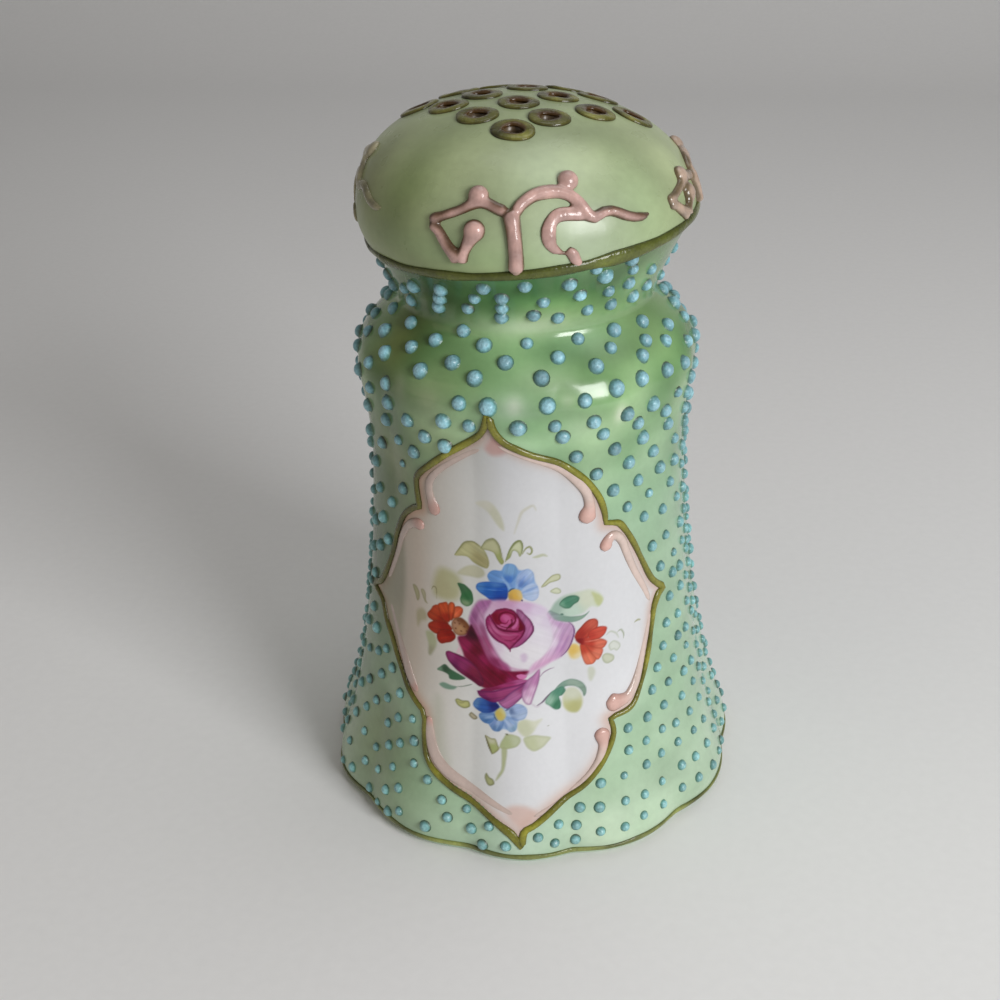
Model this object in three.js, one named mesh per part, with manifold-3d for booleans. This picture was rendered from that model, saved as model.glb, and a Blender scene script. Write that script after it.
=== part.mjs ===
import * as THREE from "three";
import { mergeVertices } from "three/addons/utils/BufferGeometryUtils.js";
import Module from "manifold-3d";

// A porcelain hatpin holder: a flared, lightly fluted skirt with a squared
// shoulder and a short neck, and a pierced mushroom cap luted onto the neck's
// flare. Raised enamel beads, lines, scrolls and rims lie on the glaze.
// Millimetres, +Z up, the painted panel faces -Y. An angle is counted from the
// front towards +X, and a height from the surface that the foot stands on.

// Sizes of the two castings, the heights stacked from the foot up
const skirtHeight = 62;
const waistRise = 18;
const shoulderRise = 11.5;
const neckRise = 10.8;
const capBandRise = 1.95;
const capDomeHeight = 16.75;
const capUnderDepth = 13.5;
const footRadius = 36.85;
const waistRadius = 26.9;
const shoulderRadius = 28.3;
const neckRadius = 21.3;
const capRadius = 26.95;
const wallThickness = 3;
const fluteDepth = 1.5;

const shoulderHeight = skirtHeight + waistRise;
const neckHeight = shoulderHeight + shoulderRise;
const seamHeight = neckHeight + neckRise;
const capWidestHeight = seamHeight + capBandRise;
const holderHeight = capWidestHeight + capDomeHeight;

// The cap was luted on askew: it leans about a point in the neck, down towards
// one side, while the seam under it rises towards that side
const leanPivotDrop = 4.3;
const leanDirection = THREE.MathUtils.degToRad(97.5);
const capLean = THREE.MathUtils.degToRad(3);
const seamLean = THREE.MathUtils.degToRad(5.1);

// Pin holes and their rims, spread over the top of the cap
const pinSpacingShare = 0.2894;
const pinSpacing = pinSpacingShare * capRadius;
const pinHoleRadius = 1.45;
const pinRimRadius = 2.3;
const pinRimHalfWidth = 0.75;
const pinRimRelief = 0.55;

// Painted panel on the front, with the blushes laid inside its line
const panelMiddleHeight = 42;
const panelHalfHeight = 38.3;
const panelHalfAngle = THREE.MathUtils.degToRad(60);
const panelLineHalfWidth = 0.55;
const panelLineRelief = 0.55;
const blushHalfWidth = 1.4;
const blushRelief = 0.5;

// Enamel line round the foot, and the one over the cap's seam
const footLineHeight = 1.5;
const footLineHalfWidth = 0.5;
const footLineRelief = 0.35;
const seamLineHalfWidth = 0.65;
const seamLineRelief = 0.5;

// Scrolls on the cap
const scrollHalfSpan = THREE.MathUtils.degToRad(50);
const scrollRise = 10.3;
const scrollHalfWidth = 0.85;
const scrollRelief = 1;
const scrollStep = 2.4;
const knobRadius = 1.5;
const knobRelief = 1.4;

// Enamel beads, fused to the body's glaze
const beadRadius = 1.05;
const beadRelief = 0.95;
const beadRoot = 0.6;

// Clearance between an enamel piece and what it lies on or beside
const enamelGap = 0.3;
const seamGap = 0.3;

// Mesh fineness
const stepsPerFlute = 8;
const bodyRows = 15;
const innerRows = 7;
const capSegments = 48;
const domeRows = 8;
const underRows = 2;
const pinSides = 10;
const knobSides = 6;
const knobRows = 2;
const beadSides = 4;
const panelSteps = 9;
const seamSearchSteps = 8;

// Sides of the cap's section: squarer above the widest ring than below it
const domeSquareness = 2.29;
const underSquareness = 2.13;
const underTurn = THREE.MathUtils.degToRad(40);

// Angles of the grooves between the flutes, unevenly spaced by the modeller
const grooveAngles = [-79, -48, -11.5, 18, 52, 88, 120, 152.5, 184.5, 217, 249]
  .map((angle) => THREE.MathUtils.degToRad(angle));

// The body's profile: [share of the rise, share of the change in radius]
const skirtShares = [
  [0, 0.97], [0.05, 1], [0.11, 0.91], [0.21, 0.69], [0.34, 0.48], [0.52, 0.28], [0.74, 0.11], [1, 0],
];
const waistShares = [[0.35, 0.04], [0.7, 0.5], [1, 1]];
const shoulderShares = [[0.3, 0.13], [0.5, 0.36], [0.7, 0.68], [0.85, 0.92], [1, 1]];
const flareShares = [[0.3, 0.2], [0.65, 0.58], [1, 1]];

// Depth of the flutes: [share of the whole height, share of the depth]
const fluteShares = [
  [0, 1], [0.05, 0.9], [0.18, 0.55], [0.4, 0.35], [0.58, 0.4], [0.66, 0.45], [0.7, 0.2], [0.73, 0], [1, 0],
];

// Outline of the panel as eight arcs that run from a tip to a notch and on to
// the next tip: [share of the half angle, share of the half height]
const panelShares = [
  [[-0.08, 1], [-0.05, 0.93], [0, 0.88], [0.07, 0.85], [0.15, 0.82], [0.3, 0.77], [0.43, 0.69], [0.52, 0.6],
    [0.56, 0.52], [0.57, 0.46]],
  [[0.62, 0.45], [0.67, 0.43], [0.74, 0.35], [0.82, 0.23], [0.89, 0.12], [0.94, 0.07], [1, 0.03]],
  [[0.95, 0.01], [0.91, -0.04], [0.88, -0.12], [0.83, -0.24], [0.76, -0.35], [0.68, -0.44], [0.57, -0.46]],
  [[0.54, -0.47], [0.55, -0.54], [0.49, -0.64], [0.38, -0.75], [0.25, -0.82], [0.13, -0.9], [0.08, -0.93],
    [0.07, -1]],
  [[0.02, -0.94], [-0.03, -0.91], [-0.14, -0.85], [-0.3, -0.78], [-0.42, -0.7], [-0.46, -0.6], [-0.47, -0.51]],
  [[-0.49, -0.47], [-0.59, -0.41], [-0.67, -0.33], [-0.77, -0.24], [-0.86, -0.16], [-0.92, -0.08],
    [-1.03, -0.05]],
  [[-1, -0.02], [-0.94, 0.01], [-0.88, 0.09], [-0.82, 0.2], [-0.77, 0.31], [-0.7, 0.41], [-0.65, 0.45],
    [-0.6, 0.48]],
  [[-0.55, 0.5], [-0.57, 0.6], [-0.55, 0.65], [-0.45, 0.72], [-0.32, 0.8], [-0.17, 0.88], [-0.12, 0.92],
    [-0.09, 0.97]],
];
// How far a blush runs along its arc from the notch, and how it tapers:
// [share of its length, share of the half width]
const blushStartShare = 0.02;
const blushEndShare = 0.72;
const blushTaperShares = [
  [0, 0.5], [0.05, 0.9], [0.11, 1], [0.17, 0.8], [0.25, 0.5], [0.4, 0.4], [0.6, 0.32], [0.8, 0.26], [1, 0.2],
];

// Strokes of one scroll on the cap:
// [share of the half span, share of the rise, share of the half width]
const scrollStrokeShares = [
  [[0.044, 0, 1.2], [0.036, 0.165, 0.95], [0.02, 0.456, 0.85], [-0.006, 0.69, 0.85], [-0.024, 0.77, 0.8]],
  [[-0.01, 0.74, 0.75], [0.06, 0.9, 0.75], [0.14, 0.98, 0.75], [0.22, 1, 0.75], [0.32, 0.98, 0.75],
    [0.4, 0.91, 0.75], [0.45, 0.78, 0.8], [0.52, 0.74, 0.75], [0.6, 0.77, 0.7], [0.7, 0.73, 0.7],
    [0.82, 0.65, 0.65], [0.97, 0.56, 0.5]],
  [[0, 0.73, 0.75], [-0.08, 0.78, 0.7], [-0.16, 0.845, 0.7], [-0.25, 0.87, 0.8], [-0.33, 0.77, 0.7],
    [-0.42, 0.68, 0.65], [-0.55, 0.56, 0.5]],
  [[-0.42, 0.68, 0.7], [-0.44, 0.42, 0.8], [-0.4, 0.26, 0.85], [-0.314, 0.12, 1.1]],
  [[-0.314, 0.12, 1.1], [-0.29, 0.22, 0.8], [-0.266, 0.36, 1.2], [-0.226, 0.51, 1.4]],
  [[0.47, 0.74, 0.8], [0.38, 0.75, 1], [0.296, 0.73, 1.15], [0.246, 0.61, 1.2], [0.236, 0.48, 1.05],
    [0.26, 0.36, 0.7], [0.3, 0.33, 0.5]],
];
const dropStrokeShares = [[0.36, 0.29, 0.45], [0.39, 0.22, 0.75], [0.43, 0.15, 0.45]];
const knobShares = [[-0.246, 0.98, 1], [0.385, 1.04, 1], [-0.226, 0.51, 0.9]];
// The four scrolls: [name, centre in quarter turns, share of the rise, share that it is lifted by]
const scrollPlaceShares = [
  ["front", 0.02, 1, 0.04], ["right", 0.97, 0.56, 0], ["back", 2.02, 0.95, 0.12], ["left", -1.06, 1, 0.2],
];

// Pin holes, pierced by hand in rows of four set cornerwise: shares of the spacing
const pinPlaceShares = [
  [-0.1, -1.7], [0.5, -1.08], [1.32, -0.36], [2.02, 0.28],
  [-0.88, -1.1], [-0.17, -0.42], [0.52, 0.26], [1.27, 1],
  [-1.56, -0.4], [-0.98, 0.22], [-0.17, 1], [0.53, 1.7],
  [-2.25, 0.26], [-1.57, 0.98], [-0.87, 1.68], [-0.18, 2.38],
];

// Rows of beads round the body, the largest in each group of four:
// [share of the seam's height, share of a turn where the row starts, beads in a whole turn]
const beadRowShares = [
  [0.945, 0, 14], [0.876, 0.024, 20], [0.836, -0.025, 18], [0.802, 0.039, 16], [0.741, 0.051, 26],
  [0.674, 0.083, 28], [0.601, 0.119, 30], [0.508, 0.153, 20], [0.433, 0.181, 22], [0.354, 0.165, 22],
  [0.2825, 0.148, 20], [0.209, 0.129, 22], [0.129, 0.097, 24], [0.05, 0.091, 25],
];

// Section of a raised line: [share of the half width, share of the relief]
const lineSectionShares = [[-1, 0], [-0.5, 0.9], [0.5, 0.9], [1, 0]];
const scrollSectionShares = [[-1, 0], [-0.66, 0.84], [0.66, 0.84], [1, 0]];

const glazes = {
  body: { color: 0xa9cda0, roughness: 0.16, metalness: 0 },
  cap: { color: 0xa8bf90, roughness: 0.18, metalness: 0 },
  olive: { color: 0x5f6320, roughness: 0.3, metalness: 0 },
  scroll: { color: 0xc39a90, roughness: 0.3, metalness: 0 },
  blush: { color: 0xd8a59c, roughness: 0.25, metalness: 0 },
};

const wasm = await Module();
wasm.setup();

function pieceOf(name, geometry, glaze) {
  const mesh = new THREE.Mesh(geometry, new THREE.MeshStandardMaterial(glazes[glaze]));
  mesh.name = name;
  return mesh;
}

function ringPoint(angle, radius, height) {
  return new THREE.Vector3(radius * Math.sin(angle), -radius * Math.cos(angle), height);
}

function radiusOf(point) {
  return Math.hypot(point.x, point.y);
}

function wholeTurn(angle) {
  return THREE.MathUtils.euclideanModulo(angle, 2 * Math.PI);
}

// Value at a place along a table of [place, value] pairs
function readTable(table, place) {
  const next = table.findIndex((row) => row[0] >= place);
  if (next === 0) return table[0][1];
  if (next < 0) return table[table.length - 1][1];
  const [low, high] = [table[next - 1], table[next]];
  return THREE.MathUtils.mapLinear(place, low[0], high[0], low[1], high[1]);
}

// A closed mesh as a solid that can be cut and joined, and back again
function toSolid(geometry) {
  const shell = geometry.clone();
  shell.deleteAttribute("normal");
  shell.deleteAttribute("uv");
  const merged = mergeVertices(shell);
  const kept = [];
  for (let i = 0; i < merged.index.count; i += 3) {
    const [a, b, c] = merged.index.array.slice(i, i + 3);
    if (a !== b && b !== c && c !== a) kept.push(a, b, c);
  }
  return new wasm.Manifold(new wasm.Mesh({
    numProp: 3,
    vertProperties: new Float32Array(merged.attributes.position.array),
    triVerts: new Uint32Array(kept),
  }));
}

function toGeometry(solid) {
  const mesh = solid.getMesh();
  return geometryOf(mesh.vertProperties, mesh.triVerts);
}

function geometryOf(places, corners) {
  const geometry = new THREE.BufferGeometry();
  geometry.setAttribute("position", new THREE.BufferAttribute(new Float32Array(places), 3));
  geometry.setIndex(new THREE.BufferAttribute(new Uint32Array(corners), 1));
  geometry.computeVertexNormals();
  return geometry;
}

// A profile of [radius, height] pairs turned about the upright axis
function turned(profile, segments) {
  const geometry = new THREE.LatheGeometry(profile.map(([r, z]) => new THREE.Vector2(r, z)), segments);
  return geometry.rotateX(Math.PI / 2);
}

function movePoints(geometry, move) {
  const places = geometry.attributes.position;
  for (let i = 0; i < places.count; i += 1) {
    const moved = move(new THREE.Vector3().fromBufferAttribute(places, i));
    places.setXYZ(i, moved.x, moved.y, moved.z);
  }
  return geometry;
}

// The body's profile, before its flutes are pressed in and its flare leans
function bodyStations() {
  const stretch = (shares, from, to) => shares.map(([rise, turn]) => new THREE.Vector2(
    THREE.MathUtils.lerp(from[0], to[0], turn),
    THREE.MathUtils.lerp(from[1], to[1], rise),
  ));
  const waist = [waistRadius, skirtHeight];
  const shoulder = [shoulderRadius, shoulderHeight];
  const neck = [neckRadius, neckHeight];
  const rim = [capRadius, seamHeight - seamGap / 2];
  return [
    ...stretch(skirtShares, [waistRadius, 0], [footRadius, skirtHeight]),
    ...stretch(waistShares, waist, shoulder),
    ...stretch(shoulderShares, shoulder, neck),
    ...stretch(flareShares, neck, rim),
  ];
}

function bodyWall(rows) {
  return new THREE.SplineCurve(bodyStations()).getPoints(rows).map((point) => [point.x, point.y]);
}

const outerWall = bodyWall(bodyRows);
const radiusByHeight = outerWall.map(([radius, height]) => [height, radius]);
const grooves = [...grooveAngles, grooveAngles[0] + 2 * Math.PI];

// Angle after a number of steps round the flutes, from the first groove
function steppedAngle(step) {
  const flute = Math.floor(step / stepsPerFlute) % grooveAngles.length;
  return THREE.MathUtils.lerp(grooves[flute], grooves[flute + 1], (step % stepsPerFlute) / stepsPerFlute);
}

// Depth of the fluting at a place: full in a groove, none on a crest
function fluteDip(angle, height) {
  const along = grooves[0] + wholeTurn(angle - grooves[0]);
  const next = Math.max(1, grooves.findIndex((groove) => groove > along));
  const share = THREE.MathUtils.inverseLerp(grooves[next - 1], grooves[next], along);
  return fluteDepth * readTable(fluteShares, height / holderHeight) * (1 - Math.sin(Math.PI * share));
}

// A point of the body's wall once its flutes are pressed in and its flare
// leans to meet the cap's edge
function pressedPoint(angle, radius, height) {
  const lean = THREE.MathUtils.smoothstep(height, neckHeight, seamHeight - seamGap / 2);
  const spread = lean * (radiusOf(seamPoint(angle)) - capRadius);
  const moved = ringPoint(angle, radius - fluteDip(angle, height) + spread, height);
  return moved.setZ(height + lean * (seamHeightAt(moved) - seamHeight));
}

function bodyPoint(angle, height) {
  return pressedPoint(angle, readTable(radiusByHeight, height), height);
}

function bodyNormal(angle, height) {
  const nudgeShare = 0.001;
  const side = bodyPoint(angle + nudgeShare, height).sub(bodyPoint(angle - nudgeShare, height));
  const nudge = nudgeShare * holderHeight;
  const rise = bodyPoint(angle, height + nudge).sub(bodyPoint(angle, height - nudge));
  return side.cross(rise).normalize();
}

// The cap's section in its own upright frame: its half above the widest ring
// and the part under it are each a quarter of a squared oval
function capQuarter(above) {
  return above
    ? { power: domeSquareness, reach: capDomeHeight }
    : { power: underSquareness, reach: capUnderDepth };
}

function capRadiusAt(height) {
  const { power, reach } = capQuarter(height > capWidestHeight);
  const share = Math.min(1, Math.abs(height - capWidestHeight) / reach);
  return capRadius * (1 - share ** power) ** (1 / power);
}

function capSectionPoint(turn, inset) {
  const { power, reach } = capQuarter(turn > 0);
  const out = Math.max(0, Math.cos(turn)) ** (2 / power);
  const up = Math.sign(turn) * Math.abs(Math.sin(turn)) ** (2 / power);
  return [(capRadius - inset) * out, capWidestHeight + (reach - inset) * up];
}

// A point of the cap above its widest ring, from its place seen from above
function capTopPoint(x, y) {
  const { power, reach } = capQuarter(true);
  const share = Math.hypot(x, y) / capRadius;
  return new THREE.Vector3(x, y, capWidestHeight + reach * (1 - share ** power) ** (1 / power));
}

function capNormal(point) {
  const { power, reach } = capQuarter(point.z > capWidestHeight);
  const out = (radiusOf(point) / capRadius) ** (power - 1) / capRadius;
  const up = (Math.abs(point.z - capWidestHeight) / reach) ** (power - 1) / reach;
  const outward = new THREE.Vector3(point.x, point.y, 0).normalize().multiplyScalar(out);
  return outward.setZ(Math.sign(point.z - capWidestHeight) * up).normalize();
}

// How the cap leans, and the plane of the seam under it
const leanSide = ringPoint(leanDirection, 1, 0);
const leanAxis = ringPoint(leanDirection + Math.PI / 2, 1, 0);
const leanPivot = new THREE.Vector3(0, 0, seamHeight - leanPivotDrop);
const capFrame = new THREE.Group();
capFrame.quaternion.setFromAxisAngle(leanAxis, capLean);
capFrame.position.copy(leanPivot).sub(leanPivot.clone().applyQuaternion(capFrame.quaternion));
capFrame.updateMatrixWorld(true);

function seamHeightAt(point) {
  return seamHeight + Math.tan(seamLean) * (point.x * leanSide.x + point.y * leanSide.y);
}

// Where the cap's glaze meets the seam, in the holder's frame
function seamPoint(angle) {
  const point = ringPoint(angle, capRadius, 0);
  for (let step = 0; step < seamSearchSteps; step += 1) {
    point.z = seamHeightAt(point);
    const own = capFrame.worldToLocal(point.clone());
    const change = capRadiusAt(own.z) / radiusOf(own);
    point.set(point.x * change, point.y * change, point.z);
  }
  return point.setZ(seamHeightAt(point));
}

// The body, open at the foot, with its beads fused on
function bodyCasting() {
  const innerWall = bodyWall(innerRows).map(([radius, height]) => [radius - wallThickness, height]);
  const loop = [...outerWall, ...innerWall.reverse(), outerWall[0]];
  const steps = grooveAngles.length * stepsPerFlute;
  const shell = movePoints(turned(loop, steps), (point) => {
    const turnShare = wholeTurn(Math.atan2(point.x, -point.y)) / (2 * Math.PI);
    return pressedPoint(steppedAngle(Math.round(turnShare * steps)), radiusOf(point), point.z);
  });
  return toGeometry(beadPlaces().map(bead).reduce((whole, piece) => whole.add(piece), toSolid(shell)));
}

// Angle and height of each bead that stands clear of the panel
function beadPlaces() {
  const outline = panelShares.flatMap((shares) => panelArc(shares).getSpacedPoints(panelSteps));
  const clear = panelLineHalfWidth + enamelGap + beadRadius;
  return beadRowShares.flatMap(([heightShare, startShare, count]) => (
    Array.from({ length: count }, (_, step) => {
      const turns = startShare + step / count;
      return { angle: 2 * Math.PI * (turns - Math.round(turns)), height: heightShare * seamHeight };
    })
  )).filter(({ angle, height }) => outlineDistance(outline, angle * waistRadius, height) > clear);
}

// Distance of a flat place from a closed outline, and none inside it
function outlineDistance(outline, x, y) {
  const place = new THREE.Vector3(x, y, 0);
  let nearest = Infinity;
  let inside = false;
  outline.forEach((start, i) => {
    const end = outline[(i + 1) % outline.length];
    const side = new THREE.Line3(new THREE.Vector3(start.x, start.y, 0), new THREE.Vector3(end.x, end.y, 0));
    nearest = Math.min(nearest, side.closestPointToPoint(place, true, new THREE.Vector3()).distanceTo(place));
    const crosses = (start.y > y) !== (end.y > y);
    if (crosses && x < THREE.MathUtils.mapLinear(y, start.y, end.y, start.x, end.x)) inside = !inside;
  });
  return inside ? 0 : nearest;
}

// A bead of enamel, pointed here, whose root is sunk in the wall
function bead({ angle, height }) {
  const reach = beadRelief + beadRoot;
  const cone = new THREE.ConeGeometry((beadRadius * reach) / beadRelief, reach, beadSides);
  const normal = bodyNormal(angle, height);
  cone.applyQuaternion(new THREE.Quaternion().setFromUnitVectors(new THREE.Vector3(0, 1, 0), normal));
  const middle = bodyPoint(angle, height).addScaledVector(normal, beadRelief - reach / 2);
  return toSolid(cone.translate(middle.x, middle.y, middle.z));
}

// Everything below the seam, as seen from the cap's own frame
function belowSeam() {
  const side = 4 * capRadius;
  const block = new THREE.BoxGeometry(side, side, capRadius);
  block.translate(0, 0, -capRadius / 2);
  block.applyQuaternion(new THREE.Quaternion().setFromAxisAngle(leanAxis, -seamLean));
  block.translate(0, 0, seamHeight + seamGap / 2);
  return toSolid(block.applyMatrix4(capFrame.matrixWorld.clone().invert()));
}

function pinPlaces() {
  return pinPlaceShares.map(([x, y]) => capTopPoint(x * pinSpacing, y * pinSpacing));
}

function pinHole(place) {
  const pin = new THREE.CylinderGeometry(pinHoleRadius, pinHoleRadius, 4 * wallThickness, pinSides);
  const up = new THREE.Vector3(0, 1, 0);
  pin.applyQuaternion(new THREE.Quaternion().setFromUnitVectors(up, capNormal(place)));
  return toSolid(pin.translate(place.x, place.y, place.z));
}

// The cap: a hollow dome cut along the seam and pierced for the pins
function capCasting() {
  const turns = (rows, lowRows) => [
    ...Array.from({ length: lowRows }, (_, row) => -underTurn * (1 - row / lowRows)),
    ...Array.from({ length: rows + 1 }, (_, row) => (Math.PI / 2) * (row / rows)),
  ];
  const outer = turns(domeRows, underRows).map((turn) => capSectionPoint(turn, 0));
  const inner = turns(domeRows / 2, underRows).map((turn) => capSectionPoint(turn, wallThickness));
  let solid = toSolid(turned([...inner.reverse(), ...outer], capSegments)).subtract(belowSeam());
  for (const place of pinPlaces()) solid = solid.subtract(pinHole(place));
  return toGeometry(solid);
}

// A raised line that follows stations of { point, normal, halfWidth }, held
// clear of the glaze, mitred at its corners
function raisedLine(stations, relief, section, closed) {
  const count = stations.length;
  const sides = section.length;
  const neighbour = (place) => (closed ? (place + count) % count : THREE.MathUtils.clamp(place, 0, count - 1));
  const places = [];
  stations.forEach(({ point, normal, halfWidth }, i) => {
    const before = point.clone().sub(stations[neighbour(i - 1)].point).normalize();
    const after = stations[neighbour(i + 1)].point.clone().sub(point).normalize();
    const along = before.clone().add(after).normalize();
    const across = along.clone().cross(normal).normalize();
    const straight = Math.max(before.dot(along), after.dot(along));
    const mitred = halfWidth / Math.max(straight, Math.SQRT1_2);
    for (const [side, rise] of section) {
      const corner = point.clone().addScaledVector(across, side * mitred);
      places.push(...corner.addScaledVector(normal, enamelGap + rise * relief));
    }
  });
  const corners = [];
  const steps = closed ? count : count - 1;
  for (let i = 0; i < steps; i += 1) {
    for (let side = 0; side < sides; side += 1) {
      const next = (side + 1) % sides;
      const [a, b] = [i * sides + side, i * sides + next];
      const [c, d] = [neighbour(i + 1) * sides + next, neighbour(i + 1) * sides + side];
      corners.push(a, b, c, a, c, d);
    }
  }
  for (let side = 1; !closed && side < sides - 1; side += 1) {
    const last = (count - 1) * sides;
    corners.push(0, side + 1, side, last, last + side, last + side + 1);
  }
  return geometryOf(places, corners);
}

// The panel's outline and its blushes are drawn flat and laid round the body
function panelArc(shares) {
  return new THREE.SplineCurve(shares.map(([across, up]) => new THREE.Vector2(
    across * panelHalfAngle * waistRadius,
    panelMiddleHeight + up * panelHalfHeight,
  )));
}

function onBody(flat, halfWidth) {
  const angle = flat.x / waistRadius;
  return { point: bodyPoint(angle, flat.y), normal: bodyNormal(angle, flat.y), halfWidth };
}

function panelLine() {
  const stations = panelShares.flatMap((shares) => (
    panelArc(shares).getSpacedPoints(panelSteps).map((flat) => onBody(flat, panelLineHalfWidth))
  ));
  return raisedLine(stations, panelLineRelief, lineSectionShares, true);
}

// A blush starts with a round head beside a notch and tapers along its arc
function blush(shares, notchFirst) {
  const arc = panelArc(shares);
  const stations = blushTaperShares.map(([share, width]) => {
    const fromNotch = THREE.MathUtils.lerp(blushStartShare, blushEndShare, share);
    const place = notchFirst ? fromNotch : 1 - fromNotch;
    const halfWidth = width * blushHalfWidth;
    const along = arc.getTangentAt(place);
    const inward = new THREE.Vector2(along.y, -along.x);
    const inset = panelLineHalfWidth + 2 * enamelGap + halfWidth;
    return onBody(arc.getPointAt(place).addScaledVector(inward, inset), halfWidth);
  });
  return raisedLine(stations, blushRelief, lineSectionShares, false);
}

function footLine() {
  const steps = grooveAngles.length * stepsPerFlute;
  const stations = Array.from({ length: steps }, (_, step) => {
    const angle = steppedAngle(step);
    return {
      point: bodyPoint(angle, footLineHeight),
      normal: bodyNormal(angle, footLineHeight),
      halfWidth: footLineHalfWidth,
    };
  });
  return raisedLine(stations, footLineRelief, lineSectionShares, true);
}

function seamLine() {
  const stations = Array.from({ length: capSegments }, (_, step) => {
    const point = seamPoint((2 * Math.PI * step) / capSegments);
    const normal = capNormal(capFrame.worldToLocal(point.clone())).applyQuaternion(capFrame.quaternion);
    return { point, normal, halfWidth: seamLineHalfWidth };
  });
  return raisedLine(stations, seamLineRelief, lineSectionShares, true);
}

// A scroll stands on its own level just above the seam line at its centre
function scrollPlace([, quarter, rise, lift]) {
  const centre = (quarter * Math.PI) / 2;
  const seamSlope = Math.tan(seamLean + capLean);
  const seam = seamHeight + seamSlope * capRadius * Math.cos(centre - leanDirection);
  const foot = seam + seamLineHalfWidth + enamelGap + lift * scrollRise;
  return (x, y) => {
    const height = foot + y * rise;
    return ringPoint(centre + x / capRadius, capRadiusAt(height), height);
  };
}

function scrollStroke(shares, placeOf) {
  const curve = new THREE.CatmullRomCurve3(shares.map(([across, up, width]) => new THREE.Vector3(
    across * scrollHalfSpan * capRadius,
    up * scrollRise,
    width * scrollHalfWidth,
  )));
  const endShare = (0.5 * scrollHalfWidth) / curve.getLength();
  const steps = Math.max(1, Math.round(curve.getLength() / scrollStep));
  const inner = Array.from({ length: steps + 1 }, (_, step) => (
    THREE.MathUtils.lerp(endShare, 1 - endShare, step / steps)
  ));
  const stations = [0, ...inner, 1].map((share) => {
    const { x, y, z } = curve.getPointAt(share);
    const point = placeOf(x, y);
    const narrowing = share === 0 || share === 1 ? 0.5 : 1;
    return { point, normal: capNormal(point), halfWidth: z * narrowing };
  });
  return raisedLine(stations, scrollRelief, scrollSectionShares, false);
}

// A low round knob of enamel with a flat base
function knob([across, up, size], placeOf) {
  const radius = size * knobRadius;
  const arc = Array.from({ length: knobRows + 1 }, (_, row) => {
    const turn = (Math.PI / 2) * (row / knobRows);
    return new THREE.Vector2(row === knobRows ? 0 : radius * Math.cos(turn), size * knobRelief * Math.sin(turn));
  });
  const dome = new THREE.LatheGeometry([new THREE.Vector2(0, 0), ...arc], knobSides);
  const point = placeOf(across * scrollHalfSpan * capRadius, up * scrollRise);
  const normal = capNormal(point);
  dome.applyQuaternion(new THREE.Quaternion().setFromUnitVectors(new THREE.Vector3(0, 1, 0), normal));
  const base = point.clone().addScaledVector(normal, enamelGap);
  return dome.translate(base.x, base.y, base.z);
}

function scroll(placeOf) {
  const strokes = scrollStrokeShares.map((shares) => scrollStroke(shares, placeOf));
  const knobs = knobShares.map((share) => knob(share, placeOf));
  const [first, ...others] = [...strokes, ...knobs].map(toSolid);
  return toGeometry(others.reduce((whole, piece) => whole.add(piece), first));
}

// A raised rim round a pin hole, bent to the dome
function pinRim(place) {
  const normal = capNormal(place);
  const side = new THREE.Vector3(1, 0, 0).cross(normal).normalize();
  const other = normal.clone().cross(side);
  const stations = Array.from({ length: pinSides }, (_, step) => {
    const turn = (2 * Math.PI * step) / pinSides;
    const near = place.clone()
      .addScaledVector(side, pinRimRadius * Math.cos(turn))
      .addScaledVector(other, pinRimRadius * Math.sin(turn));
    const point = capTopPoint(near.x, near.y);
    return { point, normal: capNormal(point), halfWidth: pinRimHalfWidth };
  });
  return raisedLine(stations, pinRimRelief, lineSectionShares, true);
}

const holder = new THREE.Group();
holder.add(pieceOf("body_casting", bodyCasting(), "body"));
holder.add(pieceOf("foot_line", footLine(), "olive"));
holder.add(pieceOf("seam_line", seamLine(), "olive"));
holder.add(pieceOf("panel_line", panelLine(), "olive"));
panelShares.forEach((shares, i) => {
  holder.add(pieceOf(`panel_blush_${i + 1}`, blush(shares, i % 2 === 1), "blush"));
});

capFrame.add(pieceOf("cap_casting", capCasting(), "cap"));
for (const place of scrollPlaceShares) {
  const placeOf = scrollPlace(place);
  capFrame.add(pieceOf(`cap_scroll_${place[0]}`, scroll(placeOf), "scroll"));
  capFrame.add(pieceOf(`cap_drop_${place[0]}`, scrollStroke(dropStrokeShares, placeOf), "scroll"));
}
pinPlaces().forEach((place, i) => {
  capFrame.add(pieceOf(`pin_rim_${i + 1}`, pinRim(place), "olive"));
});
holder.add(capFrame);

export default holder;
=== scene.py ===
import math

import bmesh
import bpy
import numpy as np
from mathutils import Matrix, Vector


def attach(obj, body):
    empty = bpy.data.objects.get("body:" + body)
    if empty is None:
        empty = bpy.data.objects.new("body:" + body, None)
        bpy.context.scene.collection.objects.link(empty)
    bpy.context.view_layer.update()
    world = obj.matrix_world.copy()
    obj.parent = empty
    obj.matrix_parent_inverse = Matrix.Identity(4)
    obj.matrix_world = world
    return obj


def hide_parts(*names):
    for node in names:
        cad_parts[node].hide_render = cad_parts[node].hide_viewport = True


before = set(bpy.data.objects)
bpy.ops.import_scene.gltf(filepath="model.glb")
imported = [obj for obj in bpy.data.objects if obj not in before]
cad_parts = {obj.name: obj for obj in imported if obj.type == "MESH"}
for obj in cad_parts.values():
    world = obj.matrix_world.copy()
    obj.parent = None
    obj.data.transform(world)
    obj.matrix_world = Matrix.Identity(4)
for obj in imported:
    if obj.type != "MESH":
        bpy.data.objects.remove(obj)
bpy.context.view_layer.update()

# The looks of a porcelain hatpin holder: glazed castings, raised enamel and a
# bouquet painted on the front panel. Lengths are millimetres until a mesh is
# made, and an angle is in degrees from the front (-Y) towards +X.

METRES = 0.001

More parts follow.
